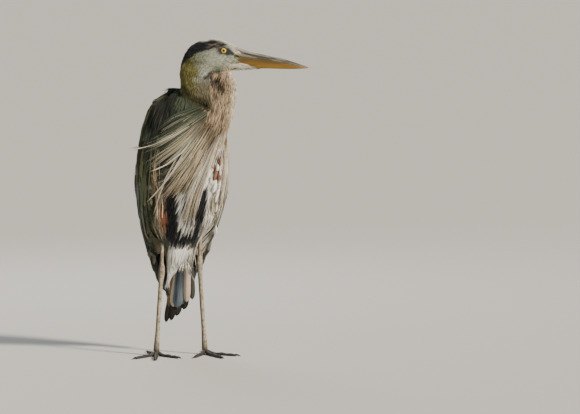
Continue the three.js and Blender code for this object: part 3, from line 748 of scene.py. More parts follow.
down_material = plumage("down_and_small_feathers", 9.0, 0.10, 0.25, 0.10, 0.82, 0.25)
soft_material = plumage("soft_small_feathers", 9.0, 0.10, 0.12, 0.05, 0.85, 0.15, vary=0.24)
covert_material = plumage("wing_coverts", 26.0, 0.06, 0.35, 0.25, 0.68, 0.30)
flight_material = plumage("flight_feathers", 60.0, 0.045, 0.8, 0.35, 0.55, 0.30)
plume_material = plumage("long_plumes", 30.0, 0.22, 0.30, 0.05, 0.72, 0.25, slant=0.15)


def skin_material():
    material, tree = new_material("skin")
    place_node = add_node(tree, "ShaderNodeTexCoord").outputs["Object"]
    grain = add_node(tree, "ShaderNodeTexNoise", {"Vector": place_node, "Scale": 900.0, "Detail": 3.0})
    # the skin is painted at three quarters of its marking: painted shade in the gaps between the feathers
    set_surface(tree, {
        "Base Color": vector_node(tree, "SCALE", {0: attribute_node(tree, "marking"), "Scale": 0.75}),
        "Normal": bump_node(tree, grain.outputs["Fac"], 0.4, BARB_DEPTH),
        "Roughness": 0.8})
    return material


skin_mesh.materials.append(skin_material())
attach(skin, "root")
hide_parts(*FLESH, *WINGS, "crest")

# %% [markdown]
# ## The coat of small feathers
# A bird of this size wears some thousands of small feathers, all alike but for size and colour,
# so Geometry Nodes plant them: points spread evenly over one zone of the skin, a feather on each
# point, turned so that it stands on the skin and points along the lie of the coat. Each feather
# carries the colour of its root, a random tint and its own patch of the skin's unwrap. The tree
# ends in real mesh, so the feathers go wherever the model goes.


# %% A small feather, one unit long, to be planted many times
def feather_shape(name, outline, ridge, arch, droop):
    """outline: (share of the length, half width); ridge: height of the shaft over the edges;
    arch and droop: how far it bows up midway, and how far its tip bends down."""
    points, faces, vane = [], [], []
    for along, half in outline:
        height = arch * along * (1.0 - along) * 4.0 - droop * along**2
        points += [(-half, along, height), (0.0, along, height + ridge * half), (half, along, height)]
        vane += [(0.0, along), (0.5, along), (1.0, along)]
    for ring in range(len(outline) - 1):
        for k in range(3):
            a, b = ring * 3 + k, ring * 3 + (k + 1) % 3
            faces.append((a, b, b + 3, a + 3))
    last = len(points) - 3
    faces += [(2, 1, 0), (last, last + 1, last + 2)]
    mesh = bpy.data.meshes.new(name)
    mesh.from_pydata(points, [], faces)
    layer = mesh.uv_layers.new(name=VANE_MAP)
    for loop in mesh.loops:
        layer.data[loop.index].uv = vane[loop.vertex_index]
    closed_outwards(mesh)
    shade_smooth(mesh)
    return new_object(name, mesh)


scale_feather = feather_shape(
    "scale_feather", [(0, 0.16), (0.3, 0.44), (0.62, 0.5), (0.88, 0.3), (1, 0.05)], 0.35, 0.05, 0.25)
round_feather = feather_shape(
    "round_feather", [(0, 0.14), (0.3, 0.42), (0.65, 0.5), (0.88, 0.40), (0.97, 0.22), (1, 0.05)],
    0.22, 0.04, 0.10)
lance_feather = feather_shape(
    "lance_feather", [(0, 0.2), (0.25, 0.46), (0.5, 0.5), (0.8, 0.28), (1, 0.03)], 0.4, 0.05, 0.50)


# %% The tree that plants feathers
PATCH = 0.003  # how wide each feather's patch is on the skin's unwrap
CROWDING = 1.7  # points tried for each square of the spacing
SPREAD = {  # lowest and highest of a random value, and its seed
    "tint": (0.0, 1.0, 3), "lift": (0.5, 1.5, 5), "swing": (-1.0, 1.0, 7), "roll": (-0.12, 0.12, 9),
    "size": (0.8, 1.2, 11),
}


def coat_nodes():
    sockets = {"Skin": "Geometry", "Feather": "Object", "Zone": "String", "Spacing": "Float",
               "Length": "Float", "Width": "Float", "Lift": "Float", "Scatter": "Float",
               "Seed": "Int", "Material": "Material"}
    tree, given, result = new_group("plant_feathers", "GeometryNodeTree", sockets, {"Coat": "Geometry"})

    def node(kind, inputs, output, **settings):
        return add_node(tree, kind, inputs, **settings).outputs[output]

    def named(name, kind="FLOAT_VECTOR"):
        return node("GeometryNodeInputNamedAttribute", {"Name": name}, "Attribute", data_type=kind)

    def random(what):
        low, high, seed = SPREAD[what]
        return node("FunctionNodeRandomValue", {2: low, 3: high, "Seed": seed}, 1, data_type="FLOAT")

    def stored(geometry, name, kind, domain, value):
        return node("GeometryNodeStoreNamedAttribute",
                    {"Geometry": geometry, "Name": name, "Value": value}, "Geometry",
                    data_type=kind, domain=domain)

    def times(a, b):
        return math_node(tree, "MULTIPLY", a, b)

    density = math_node(tree, "DIVIDE", CROWDING, math_node(tree, "POWER", given["Spacing"], 2.0))
    points = node("GeometryNodeDistributePointsOnFaces",
                  {"Mesh": given["Skin"], "Distance Min": given["Spacing"], "Density Max": density,
                   "Density Factor": named(given["Zone"], "FLOAT"), "Seed": given["Seed"]},
                  "Points", distribute_method="POISSON")
    points = stored(points, "tint", "FLOAT", "POINT", random("tint"))
    points = stored(points, "root_uv", "FLOAT_VECTOR", "POINT", named(BAKE_MAP))

    upright = node("FunctionNodeAlignRotationToVector", {"Vector": named("stand")}, "Rotation", axis="Z")
    laid = node("FunctionNodeAlignRotationToVector", {"Rotation": upright, "Vector": named("lie")},
                "Rotation", axis="Y", pivot_axis="Z")
    tilt = node("ShaderNodeCombineXYZ",
                {"X": times(given["Lift"], random("lift")), "Y": random("roll"),
                 "Z": times(given["Scatter"], random("swing"))}, "Vector")
    tilt = node("FunctionNodeEulerToRotation", {"Euler": tilt}, "Rotation")
    turned = node("FunctionNodeRotateRotation", {"Rotation": laid, "Rotate By": tilt}, "Rotation",
                  rotation_space="LOCAL")
    size = times(named("reach", "FLOAT"), random("size"))
    wide = times(given["Width"], math_node(tree, "SQRT", size))
    scale = node("ShaderNodeCombineXYZ", {"X": wide, "Y": times(given["Length"], size), "Z": wide},
                 "Vector")
    feather = node("GeometryNodeObjectInfo", {"Object": given["Feather"]}, "Geometry")
    planted = node("GeometryNodeInstanceOnPoints",
                   {"Points": points, "Instance": feather, "Rotation": turned, "Scale": scale},
                   "Instances")
    real = node("GeometryNodeRealizeInstances", {"Geometry": planted}, "Geometry")
    from_middle = vector_node(tree, "SUBTRACT", {0: named(VANE_MAP), 1: (0.5, 0.5, 0.0)})
    patch = vector_node(tree, "SCALE", {0: from_middle, "Scale": PATCH})
    on_unwrap = vector_node(tree, "ADD", {0: named("root_uv"), 1: patch})
    mapped = stored(real, BAKE_MAP, "FLOAT2", "CORNER", on_unwrap)
    dressed = node("GeometryNodeSetMaterial", {"Geometry": mapped, "Material": given["Material"]},
                   "Geometry")
    tree.links.new(dressed, result["Coat"])
    return tree


coat_tree_nodes = coat_nodes()


SPARE = ("lie", "stand", "root_uv", "reach", "zone")


def plant(name, zone, shape, spacing, length, width, lift, scatter, seed, material):
    """Plants one zone of the skin with feathers, as a mesh of its own. Sizes in millimetres."""
    ground = skin_mesh.copy()
    store(ground, "zone", "FLOAT", np.clip(zone, 0.0, 1.0))
    made = new_object(name, ground)
    modifier = made.modifiers.new("feathers", "NODES")
    modifier.node_group = coat_tree_nodes
    values = {"Feather": shape, "Zone": "zone", "Spacing": spacing * MM, "Length": length * MM,
              "Width": width * MM, "Lift": math.radians(lift), "Scatter": math.radians(scatter),
              "Seed": seed, "Material": material}
    for socket in coat_tree_nodes.interface.items_tree:
        if socket.name in values and socket.in_out == "INPUT":
            modifier[socket.identifier] = values[socket.name]
    mesh = applied(made, name)
    for attribute in [a for a in mesh.attributes if a.name in SPARE]:
        mesh.attributes.remove(attribute)
    show(name, mesh)


# %% Zones of the coat, and how long its feathers are
look_places, bird_places = to_look(coat_places), to_bird(coat_places)
# the eye and the lores have none
eye_line_far = np.hypot(look_places[:, 0] - EYE["forward"], look_places[:, 2] - EYE["height"])
bare_eye = fall(8.4, 9.4, eye_line_far)
bare_lores = band(look_places[:, 0], look_places[:, 2], [(98, 644, 5), (126, 635, 4)], 5, 0.3)
bare = np.maximum(bare_eye, bare_lores)

face_zone = near("head") * (1 - bare)
nape_zone = near("neck_upper", "crest") * broad
neck_zone = near("neck_lower") * broad
breast_zone = near("trunk") * broad
# small feathers stay away from where the rows of long ones cover the wings and the low back
WING_LINE = 30.0  # how far back the middle between the wings lies
height = bird_places[:, 2]
round_turn = np.degrees(np.abs(np.arctan2(bird_places[:, 0], WING_LINE - bird_places[:, 1])))
rows_top = np.interp(round_turn, [90, 110], [386, 350])
uncovered = 1 - step(72, 80, round_turn) * fall(rows_top - 14, rows_top, height)
uncovered *= 1 - step(150, 162, round_turn) * fall(410, 430, height)
soft_zone = near("undertail", "thigh_left", "thigh_right") * broad * fall(96, 104, round_turn)
wing_zone = near("mantle", "wing_left_coverts", "wing_right_coverts") * broad * uncovered

# feathers are longer low on the neck and the wings, and towards the back of the head
reach = np.ones(len(coat_places))
reach = np.where(face_zone > 0.5, 0.6 + 0.7 * fall(50, 112, look_places[:, 0]), reach)
reach = np.where(neck_zone > 0.5, 0.75 + 1.15 * fall(462, 560, height), reach)
reach = np.where(wing_zone > 0.5, 0.6 + 0.4 * fall(470, 560, height), reach)
store(skin_mesh, "reach", "FLOAT", smoothed(reach[:, None], 6))

# name, zone, shape, spacing, length, width, lift, scatter, seed, material
plant("coat_face", face_zone, scale_feather, 1.4, 5.2, 1.7, 9, 14, 1, soft_material)
plant("coat_nape", nape_zone, scale_feather, 1.8, 9.5, 2.4, 7, 9, 2, soft_material)
plant("coat_neck", neck_zone, lance_feather, 2.3, 16.0, 2.5, 8, 11, 3, down_material)
plant("coat_breast", breast_zone, lance_feather, 3.9, 32.0, 4.4, 6, 10, 4, down_material)
plant("coat_undertail", soft_zone, lance_feather, 2.6, 30.0, 3.0, 5, 6, 5, soft_material)
plant("coat_wings", wing_zone, round_feather, 6.2, 25.0, 13.0, 4, 7, 6, covert_material)

for shape in (scale_feather, round_feather, lance_feather):
    bpy.data.objects.remove(shape)

# %% [markdown]
# ## Long feathers
# Plumes, wing quills and tail feathers are too long and too few to be planted: each one has a
# path of its own over the body. One builder joins any number of them into a mesh. It takes their
# middle lines, the way each looks up, and their half widths, and sweeps a thin closed section
# along them. As in the coat, each carries its colour, a tint, its own map and its patch.

# %% A builder for long feathers
STRAND = [(-1.0, 0.0), (1.0, 0.0), (0.0, 0.55)]
QUILL = [(-1.0, 0.0), (0.0, -0.02), (1.0, 0.0), (0.88, 0.06), (0.0, 0.12), (-0.88, 0.06)]

skin_tree = tree_of(skin_mesh)
loop_uv = np.empty(len(skin_mesh.loops) * 2, np.float32)
skin_mesh.uv_layers[BAKE_MAP].data.foreach_get("uv", loop_uv)
loop_uv = loop_uv.reshape(-1, 2)
loop_start = np.array([p.loop_start for p in skin_mesh.polygons])
patch_centres = loop_uv[loop_start]


def placed_look(rings):
    """Rings of look-frame millimetres to rings of metres."""
    return place_look(rings.reshape(-1, 3)).reshape(rings.shape)


def unit(vectors):
    return vectors / np.maximum(np.linalg.norm(vectors, axis=-1, keepdims=True), 1e-9)


def stacked(feathers):
    return [np.array(column) for column in zip(*feathers)]


def joined(rows):
    return [np.concatenate(column) for column in zip(*rows)]


def tube_faces(rings, corners, first=0):
    """Faces of a closed tube of rings, whose points are numbered ring by ring from first on."""
    ring, after = np.arange(corners), (np.arange(corners) + 1) % corners
    start = (first + np.arange(rings - 1) * corners)[:, None]
    quads = np.stack([start + ring, start + after, start + after + corners, start + ring + corners], -1)
    ends = [(first + ring[::-1]).tolist(), (first + (rings - 1) * corners + ring).tolist()]
    return quads.reshape(-1, 4).tolist() + ends


def long_feathers(name, feathers, section, material, slot, *replaced):
    """feathers: middle lines and the way up as (feathers, stations, 3), half widths as
    (feathers, stations), all in metres, and colours as (feathers, stations, 3)."""
    lines, ups, half, colour = feathers
    many, stations = lines.shape[:2]
    corners = len(section)
    tangent = unit(np.gradient(lines, axis=1))
    side = unit(np.cross(ups, tangent))
    up = np.cross(tangent, side)
    across, height = np.array(section).T
    spread = side[:, :, None] * across[:, None] + up[:, :, None] * height[:, None]
    points = lines[:, :, None] + half[:, :, None, None] * spread
    faces = []
    for feather in range(many):
        faces += tube_faces(stations, corners, feather * stations * corners)
    mesh = bpy.data.meshes.new(name)
    mesh.from_pydata(points.reshape(-1, 3).tolist(), [], faces)

    vane = np.empty((many, stations, corners, 2))
    vane[..., 0] = (across + 1) / 2
    vane[..., 1] = np.linspace(0.0, 1.0, stations)[None, :, None]
    found = [skin_tree.find_nearest(Vector(p))[2] for p in lines[:, 0]]
    patch = patch_centres[found][:, None, None] + (vane - 0.5) * PATCH
    owner = np.empty(len(mesh.loops), np.int32)
    mesh.loops.foreach_get("vertex_index", owner)
    for label, values in ((VANE_MAP, vane), (BAKE_MAP, patch)):
        layer = mesh.uv_layers.new(name=label)
        layer.data.foreach_set("uv", values.reshape(-1, 2)[owner].astype(np.float32).ravel())
    store(mesh, "tint", "FLOAT", np.repeat(rng.random(many), stations * corners))
    shades = np.repeat(np.clip(colour, 0, 1).reshape(-1, 3), corners, axis=0)
    store(mesh, "marking", "FLOAT_COLOR", with_alpha(shades), field="color")
    show(name, mesh, material, replaced)


def along_path(rows, shares):
    """Reads a run of corners at shares of its length; rows is (corners, n)."""
    rows = np.asarray(rows, float)
    run = np.r_[0.0, np.cumsum(np.linalg.norm(np.diff(rows, axis=0), axis=1))]
    return np.stack([np.interp(np.asarray(shares) * run[-1], run, column) for column in rows.T], -1)


# %% Outlines of feathers, as half widths at shares of the length
def lance_outline(share, root=0.25, widest=0.4):
    rise = root + (1 - root) * step(0.0, widest, share)
    return rise * np.clip(1 - ((share - widest) / (1 - widest)).clip(0) ** 1.7, 0.03, 1)


def quill_outline(share, root=0.3, shoulder=0.84):
    rise = root + (1 - root) * step(0.0, 0.45, share)
    end = ((share - shoulder) / (1 - shoulder)).clip(0, 1)
    return rise * np.sqrt(np.clip(1 - end**2, 0.002, 1))


QUILL_SHARES = np.array([0, 0.14, 0.3, 0.46, 0.62, 0.76, 0.86, 0.93, 0.975, 1.0])

# %% [markdown]
# ## A shell over the folded wings
# Wing feathers lie on the wing beneath them, so their paths are told by angle round the body and
# height, and a shell says how far out the surface is there. It is a table of distances from an
# upright middle line, measured with rays from outside and then evened out.

# %% Measure the shell
SHELL_MIDDLE = [(80, 62), (110, 58), (150, 51), (200, 40), (250, 27), (300, 14), (350, 0), (410, -13),
                (470, -22), (580, -22)]  # height, and how far back the middle line is there
SHELL_NODES = ("wing_left_secondaries", "wing_right_secondaries", "wing_left_primaries",
               "wing_right_primaries")
TURN_STEP, HEIGHT_STEP = 4.0, 6.0
OUTSIDE = 300.0  # rays start this far from the middle line
shell_turns = np.arange(-180.0, 180.1, TURN_STEP)
shell_heights = np.arange(84.0, 577.0, HEIGHT_STEP)
shell_trees = [coat_tree] + [tree_of(nodes[name].data) for name in SHELL_NODES]


def outward(turn):
    angle = np.radians(turn)
    return np.stack([np.sin(angle), -np.cos(angle), np.zeros_like(angle)], -1)


def shell_axis(height):
    back = np.interp(height, *np.array(SHELL_MIDDLE).T)
    return np.stack([np.zeros_like(back), back, np.asarray(height, float)], -1)


shell_reach = np.full((len(shell_heights), len(shell_turns)), np.nan)
for i, middle_point in enumerate(shell_axis(shell_heights)):
    for j, out in enumerate(outward(shell_turns)):
        origin = Vector(place([middle_point + out * OUTSIDE])[0])
        hits = [tree.ray_cast(origin, Vector(-out), (OUTSIDE - 1) * MM) for tree in shell_trees]
        depths = [hit[3] for hit in hits if hit[0] is not None]
        if depths:
            shell_reach[i, j] = OUTSIDE - min(depths) / MM
for column in shell_reach.T:
    good = ~np.isnan(column)
    column[:] = np.interp(shell_heights, shell_heights[good], column[good])
for _ in range(2):
    padded = np.pad(shell_reach, ((1, 1), (0, 0)), mode="edge")
    padded = np.concatenate([padded[:, -2:-1], padded, padded[:, 1:2]], axis=1)
    shell_reach = (padded[1:-1, 1:-1] * 2 + padded[:-2, 1:-1] + padded[2:, 1:-1]
                   + padded[1:-1, :-2] + padded[1:-1, 2:]) / 6
print("shell reach, mm:", shell_reach.min().round(1), "to", shell_reach.max().round(1))


def shell_at(turn, height):
    """How far out the shell is, read between the four nearest entries of its table."""
    column = ((turn + 180.0) % 360.0) / TURN_STEP
    row = np.clip((height - shell_heights[0]) / HEIGHT_STEP, 0, len(shell_heights) - 1.001)
    i, j = row.astype(int), np.minimum(column.astype(int), len(shell_turns) - 2)
    a, b = row - i, column - j
    low = shell_reach[i, j] * (1 - b) + shell_reach[i, j + 1] * b
    high = shell_reach[i + 1, j] * (1 - b) + shell_reach[i + 1, j + 1] * b
    return low * (1 - a) + high * a


SINK = 3.4  # the shell is the outside of the coat, and long feathers lie partly in it


def drape(turn, height, lift):
    """Places on the shell, and the shell's normals, for angles and heights of any shape."""
    def spot(t, h):
        return shell_axis(h) + outward(t) * (shell_at(t, h) + lift - SINK)[..., None]

    across = spot(turn + 2.0, height) - spot(turn - 2.0, height)
    up = spot(turn, height + 5.0) - spot(turn, height - 5.0)
    normal = unit(np.cross(across, up))
    return (spot(turn, height) + SHIFT) * MM, normal


# %% [markdown]
# ## Wing feathers, row by row
# A folded wing shows its rows like roof tiles: small coverts above, then two rows of larger
# ones, then the long secondaries, and behind them the dark primaries. Each row is one call with
# its own numbers. The feathers nearer the back lie over the ones in front, and each is tipped a
# little so that its front edge shows.

# %% Rows of the folded wings
WING_ROWS = {
    # count, turn of the first and last tip, tip heights by turn,
    # length, half width, lift, lean, colour
    "primaries": (6, 118, 172, [(110, 146), (150, 104), (176, 96)], 130, 11.5, 0.2, -10,
                  (0.034, 0.040, 0.046)),
    "secondaries": (10, 84, 172, [(60, 262), (96, 184), (130, 146), (172, 128)], 150, 13.5, 1.2, -12,
                    (0.082, 0.096, 0.104)),
    "tertials": (5, 118, 172, [(110, 178), (172, 146)], 190, 16.0, 2.0, -8, (0.120, 0.138, 0.142)),
    "greater_coverts": (10, 78, 172, [(50, 296), (70, 262), (110, 226), (172, 212)], 92, 12.5, 2.6, -10,
                        (0.150, 0.170, 0.172)),
    "median_coverts": (12, 74, 170, [(46, 352), (70, 318), (110, 280), (172, 270)], 74, 11.5, 3.4, -9,
                       (0.175, 0.196, 0.196)),
}
# front feathers of the wings: pale as painted light on the left wing, dark olive as painted shade on the
# right
WING_FRONT_LIT_AND_SHADED = {1: (0.420, 0.395, 0.330), -1: (0.046, 0.052, 0.026)}


def wing_row(side, count, first, last, tips, length, half, lift, lean, colour):
    share = QUILL_SHARES
    turn_tip = np.linspace(first, last, count) + rng.uniform(-1.5, 1.5, count)
    height_tip = np.interp(turn_tip, *np.array(tips).T) + rng.uniform(-5, 5, count)
    long = length * rng.uniform(0.93, 1.07, count)
    turn = turn_tip[:, None] + lean * (1 - share) ** 1.3
    height = height_tip[:, None] + long[:, None] * (1 - share)
    order = np.linspace(0.0, 0.9, count)[:, None]
    raised = lift + order + 1.3 * np.sin(math.pi * share)
    lines, normals = drape(side * turn, height, raised)
    tangent = unit(np.gradient(lines, axis=1))
    back = unit(np.cross(normals, tangent)) * side
    ups = unit(normals + 0.14 * back)
    widths = half * quill_outline(share)[None, :] * rng.uniform(0.92, 1.08, (count, 1)) * MM
    front = fall(80, 108, turn_tip)
    # front feathers take their side's colour: painted light on the left, painted shade on the right
    shade = np.array(colour) * (1 - front[:, None]) + np.array(WING_FRONT_LIT_AND_SHADED[side]) * front[:, None]
    shade = shade * rng.uniform(0.85, 1.18, (count, 1))
    shades = np.repeat(shade[:, None, :], len(share), axis=1)
    pale_tip = step(0.80, 1.0, share)[None, :, None] * front[:, None, None]
    shades = shades * (1 - 0.7 * pale_tip) + np.array(BUFF) * 0.7 * pale_tip
    return lines, ups, widths, shades


for side_name, side in (("left", 1), ("right", -1)):
    rows = [wing_row(side, *row) for row in WING_ROWS.values()]
    long_feathers(f"wing_rows_{side_name}", joined(rows), QUILL, flight_material, "flight_feather",
                  f"wing_{side_name}_secondaries", f"wing_{side_name}_primaries")


# %% Long loose plumes of the shoulders and along the wings' front edges
def loose_plumes(count, turns, heights, lengths, half, lift, lean, colours, pale_edge, rise=1.5):
    share = np.linspace(0, 1, 9)
    turn_root = rng.uniform(*turns, count)
    height_root = rng.uniform(*heights, count)
    long = rng.uniform(*lengths, count)
    sway = rng.uniform(-1, 1, count)[:, None] * 5 * np.sin(math.pi * share)
    turn = turn_root[:, None] + (lean * share**1.2) * long[:, None] / 100 + sway
    height = height_root[:, None] - long[:, None] * share
    raised = lift + rng.uniform(-0.6, 1.6, count)[:, None] + rise * share * rng.uniform(0, 1, count)[:, None]
    lines, normals = drape(turn, height, raised)
    widths = rng.uniform(*half, (count, 1)) * lance_outline(share, 0.4, 0.35)[None, :] * MM
    pick = rng.integers(0, len(colours), count)
    shades = np.array(colours)[pick][:, None, :] * rng.uniform(0.75, 1.25, (count, 1, 1))
    tip = step(0.4, 1.0, share)[None, :, None] * pale_edge
    shades = shades * (1 - tip) + np.array(GREY_OLIVE) * tip
    return lines, normals, widths, shades


SLATES = [SLATE, (0.150, 0.176, 0.180), (0.100, 0.118, 0.118), (0.200, 0.222, 0.215)]
# the right wing's slate as painted shade, dark olive-green from green reflected light
SHADED_OLIVES = [(0.036, 0.042, 0.018), (0.060, 0.066, 0.030), (0.120, 0.118, 0.060), (0.018, 0.021, 0.013)]
FLANKS = [WHITE, CREAM, WHITE, BUFF, (0.300, 0.290, 0.230)]
SHOULDER_BLACKS = [(0.006, 0.007, 0.006), (0.010, 0.012, 0.008), (0.018, 0.020, 0.013)]
back_rows = [  # count, turns, heights, lengths, half widths, lift, lean, colours, pale edge, rise
    loose_plumes(150, (104, 238), (400, 545), (80, 150), (2.6, 4.2), 2.0, 0, SLATES, 0.5),
    loose_plumes(90, (100, 250), (330, 440), (90, 170), (2.2, 3.8), 4.2, 0, SLATES, 0.5, 3.0),
    loose_plumes(110, (-150, -84), (440, 566), (60, 110), (2.0, 3.0), 1.8, -2, SHADED_OLIVES, 0.1),
    loose_plumes(110, (-76, -34), (515, 562), (30, 56), (2.2, 3.4), 3.2, -2, SHOULDER_BLACKS, 0.0),
    loose_plumes(60, (78, 110), (330, 530), (90, 170), (2.0, 3.4), 1.6, 6, SLATES, 0.3),
    loose_plumes(50, (66, 88), (390, 480), (80, 150), (0.9, 1.8), 1.8, 2, FLANKS, 0.0),
    loose_plumes(70, (44, 84), (300, 372), (90, 150), (0.9, 1.9), 1.8, 3, FLANKS, 0.0),
    loose_plumes(190, (-124, -60), (330, 490), (90, 170), (1.3, 2.6), 1.4, -4, SHADED_OLIVES, 0.25),
    loose_plumes(70, (-104, -58), (250, 360), (70, 110), (1.3, 2.6), 1.6, -4, SHADED_OLIVES + [BUFF], 0.2),
    loose_plumes(14, (-53, -47), (330, 450), (60, 110), (0.5, 0.9), 3.0, 0, [CREAM, BUFF], 0.0),
]
long_feathers("shoulder_plumes", joined(back_rows), STRAND, plume_material, "wing_feather")

# %% [markdown]
# ## Breast plumes
# From the lower neck hangs a fan of long narrow plumes, blown to the bird's right: the top ones
# lie nearly level across the breast, the bottom ones hang straight down. Thirteen guides say how
# the fan runs. Every plume lies between two neighbouring guides, is shorter or longer by chance
# and wavers a little. Its depth comes from rays cast at the coat from in front.

# %% Guides of the fan, forward and height in the look frame
FAN = [
    [(52, 534), (19, 525), (-13, 515), (-38, 498), (-55, 479), (-62, 470)],
    [(54, 523), (19, 508), (-15, 487), (-48, 468), (-71, 456), (-82, 452)],
    [(55, 515), (19, 491), (-19, 468), (-55, 451), (-84, 442), (-107, 441)],
    [(57, 508), (23, 477), (-10, 447), (-44, 422), (-65, 403), (-80, 395)],
    [(59, 502), (32, 462), (2, 424), (-27, 399), (-55, 391), (-65, 389)],
    [(65, 496), (40, 454), (10, 412), (-19, 374), (-44, 344), (-74, 327)],
    [(74, 487), (48, 445), (23, 403), (-2, 365), (-23, 336), (-44, 307)],
    [(80, 481), (57, 437), (36, 391), (15, 349), (0, 311), (-10, 281)],
    [(86, 480), (64, 436), (42, 384), (24, 336), (12, 294), (2, 248)],
    [(90, 484), (72, 434), (54, 382), (38, 336), (28, 290), (18, 238)],
    [(90, 486), (70, 450), (62, 404), (57, 370), (53, 345), (49, 320)],
    [(97, 470), (95, 440), (95, 400), (90, 360), (80, 310), (60, 240)],
    [(95, 437), (99, 391), (95, 349), (84, 307), (69, 265), (52, 227)],
]
FAN_SHARES = np.linspace(0, 1, 12)
fan_guides = np.array([along_path(guide, FAN_SHARES) for guide in FAN], float)


def fan_path(position, stretch, begin):
    """A plume between the guides at a position from 0 to 12, begun late and cut short."""
    low = min(int(position), len(FAN) - 2)
    mixed = fan_guides[low] + (position - low) * (fan_guides[low + 1] - fan_guides[low])
    return along_path(mixed, begin + (stretch - begin) * FAN_SHARES)


IN_FRONT, RAY_LENGTH = 260.0, 0.55
GRAZING = 0.12  # a hit whose normal faces the ray less than this is past the edge


def lay_on_front(path, lift):
    """Casts each point of a path (forward, height) back at the coat; past its edge the plume
    keeps the depth it had."""
    depth, normals = np.full(len(path), np.nan), np.zeros((len(path), 3))
    starts = place_look(np.column_stack([path[:, 0], np.full(len(path), -IN_FRONT), path[:, 1]]))
    for i, start in enumerate(starts):
        hit, normal, _, far = coat_tree.ray_cast(Vector(start), Vector(ASIDE), RAY_LENGTH)
        if hit is not None and -np.dot(normal, ASIDE) > GRAZING:
            depth[i] = far / MM - IN_FRONT
            normals[i] = normal
    good = ~np.isnan(depth)
    if good.sum() < 2:
        return None
    steps = np.arange(len(path))
    depth = np.interp(steps, steps[good], depth[good])
    for column in range(3):
        normals[:, column] = np.interp(steps, steps[good], normals[good, column])
    for _ in range(2):
        depth[1:-1] = (depth[:-2] + 2 * depth[1:-1] + depth[2:]) / 4
    return place_look(np.column_stack([path[:, 0], depth - lift, path[:, 1]])), unit(normals)


# %% Lay the fan in locks
GREEN_GREY, PALE_GREEN = (0.120, 0.135, 0.095), (0.400, 0.400, 0.290)
# dark colours for the painted shade among the plumes
MOSS, DUSK, ROOT_SHADOW_BROWN = (0.040, 0.048, 0.030), (0.070, 0.082, 0.058), (0.150, 0.112, 0.072)
SAND, STRAW = (0.500, 0.420, 0.290), (0.620, 0.540, 0.390)
# the lower layer shows in the gaps between the upper plumes: its dark colours are painted shade there, and
# the top of the fan is dark green-grey painted shade on both layers
UNDER_COLOURS = [  # from the guide at this position on: colours to pick from
    (0.0, [MOSS, MOSS, DUSK]),
    (3.0, [MOSS, DUSK, MOSS, UMBER]),
    (5.0, [UMBER, DUSK, UMBER, BUFF]),
    (6.8, [UMBER, BUFF, UMBER, DEEP_BROWN]),
    (9.0, [SAND, BUFF, CREAM, UMBER]),
]
OVER_COLOURS = [
    (0.0, [PALE_GREEN, DUSK, DUSK]),
    (0.8, [STRAW, DUSK, PALE_GREEN, DUSK]),
    (2.6, [STRAW, PALE_GREEN, DUSK, SAND]),
    (3.8, [STRAW, SAND, CREAM, DUSK]),
    (5.0, [STRAW, CREAM, SAND, UMBER]),
    (6.8, [CREAM, WHITE, STRAW, UMBER]),
    (9.0, [WHITE, CREAM, WHITE, SAND]),
]


def shortest(position):
    """The most of its path that a plume may take: the black belly patches stay in sight."""
    beside_patch = 9.3 < position < 10.8
    over_stripe = 5.9 < position < 7.3
    return 0.55 if beside_patch else 0.80 if over_stripe else 1.0


LAST_GUIDE = len(FAN) - 1
BARE_STRIP = (10.1, 10.95)  # no lock hangs here: the left wing's bend shows


def fan_of_plumes(locks, each, spread, half, lifts, palette, gather):
    """Plumes in locks, spread over a share of a guide, that gather towards their tips."""
    plumes = []
    for _ in range(locks):
        middle_of_lock = rng.uniform(0.05, LAST_GUIDE - 0.05)
        while BARE_STRIP[0] < middle_of_lock < BARE_STRIP[1]:
            middle_of_lock = rng.uniform(0.05, LAST_GUIDE - 0.05)
        lock_begin = rng.uniform(0.0, 0.45) ** 1.3
        lock_stretch = lock_begin + (1 - lock_begin) * rng.uniform(0.55, 1.0)
        lock_stretch = min(lock_stretch, shortest(middle_of_lock) * rng.uniform(0.9, 1.0))
        lock_waver = rng.uniform(-2.4, 2.4) * np.sin(FAN_SHARES * math.pi * rng.uniform(0.8, 2.0))
        choice = [colours for start, colours in palette if middle_of_lock >= start][-1]
        lock_lift = rng.uniform(*lifts)
        if lock_stretch < lock_begin + 0.2:
            continue
        axis = fan_path(middle_of_lock, lock_stretch, lock_begin)
        for _ in range(each):
            position = np.clip(middle_of_lock + rng.normal(0.0, spread), 0.0, LAST_GUIDE)
            begin = lock_begin + rng.uniform(-0.03, 0.06)
            path = fan_path(position, lock_stretch * rng.uniform(0.88, 1.0), max(begin, 0.0))
            pull = gather * FAN_SHARES[:, None] ** 1.2
            path = path * (1 - pull) + axis * pull
            waver = lock_waver + rng.uniform(-0.9, 0.9) * np.sin(FAN_SHARES * math.pi * rng.uniform(1, 3))
            path = path + np.column_stack([waver, 0.4 * waver])
            laid = lay_on_front(path, lock_lift + rng.uniform(-0.6, 0.6))
            if laid is None:
                continue
            width = rng.uniform(*half) * lance_outline(FAN_SHARES, 0.5, 0.3) * MM
            shade = np.array(choice[rng.integers(len(choice))]) * rng.uniform(0.85, 1.12)
            # painted shadow under the neck: each plume darkens towards its root, green-grey at the top of the
            # fan and brown lower down
            shadow_until = 0.65 - 0.035 * position
            root = fall(0.0, shadow_until, FAN_SHARES + lock_begin)[:, None]
            root_shadow_colour = np.array(MOSS if position < 3.2 else ROOT_SHADOW_BROWN)
            plumes.append((*laid, width, shade * (1 - root) + root_shadow_colour * root))
    return stacked(plumes)


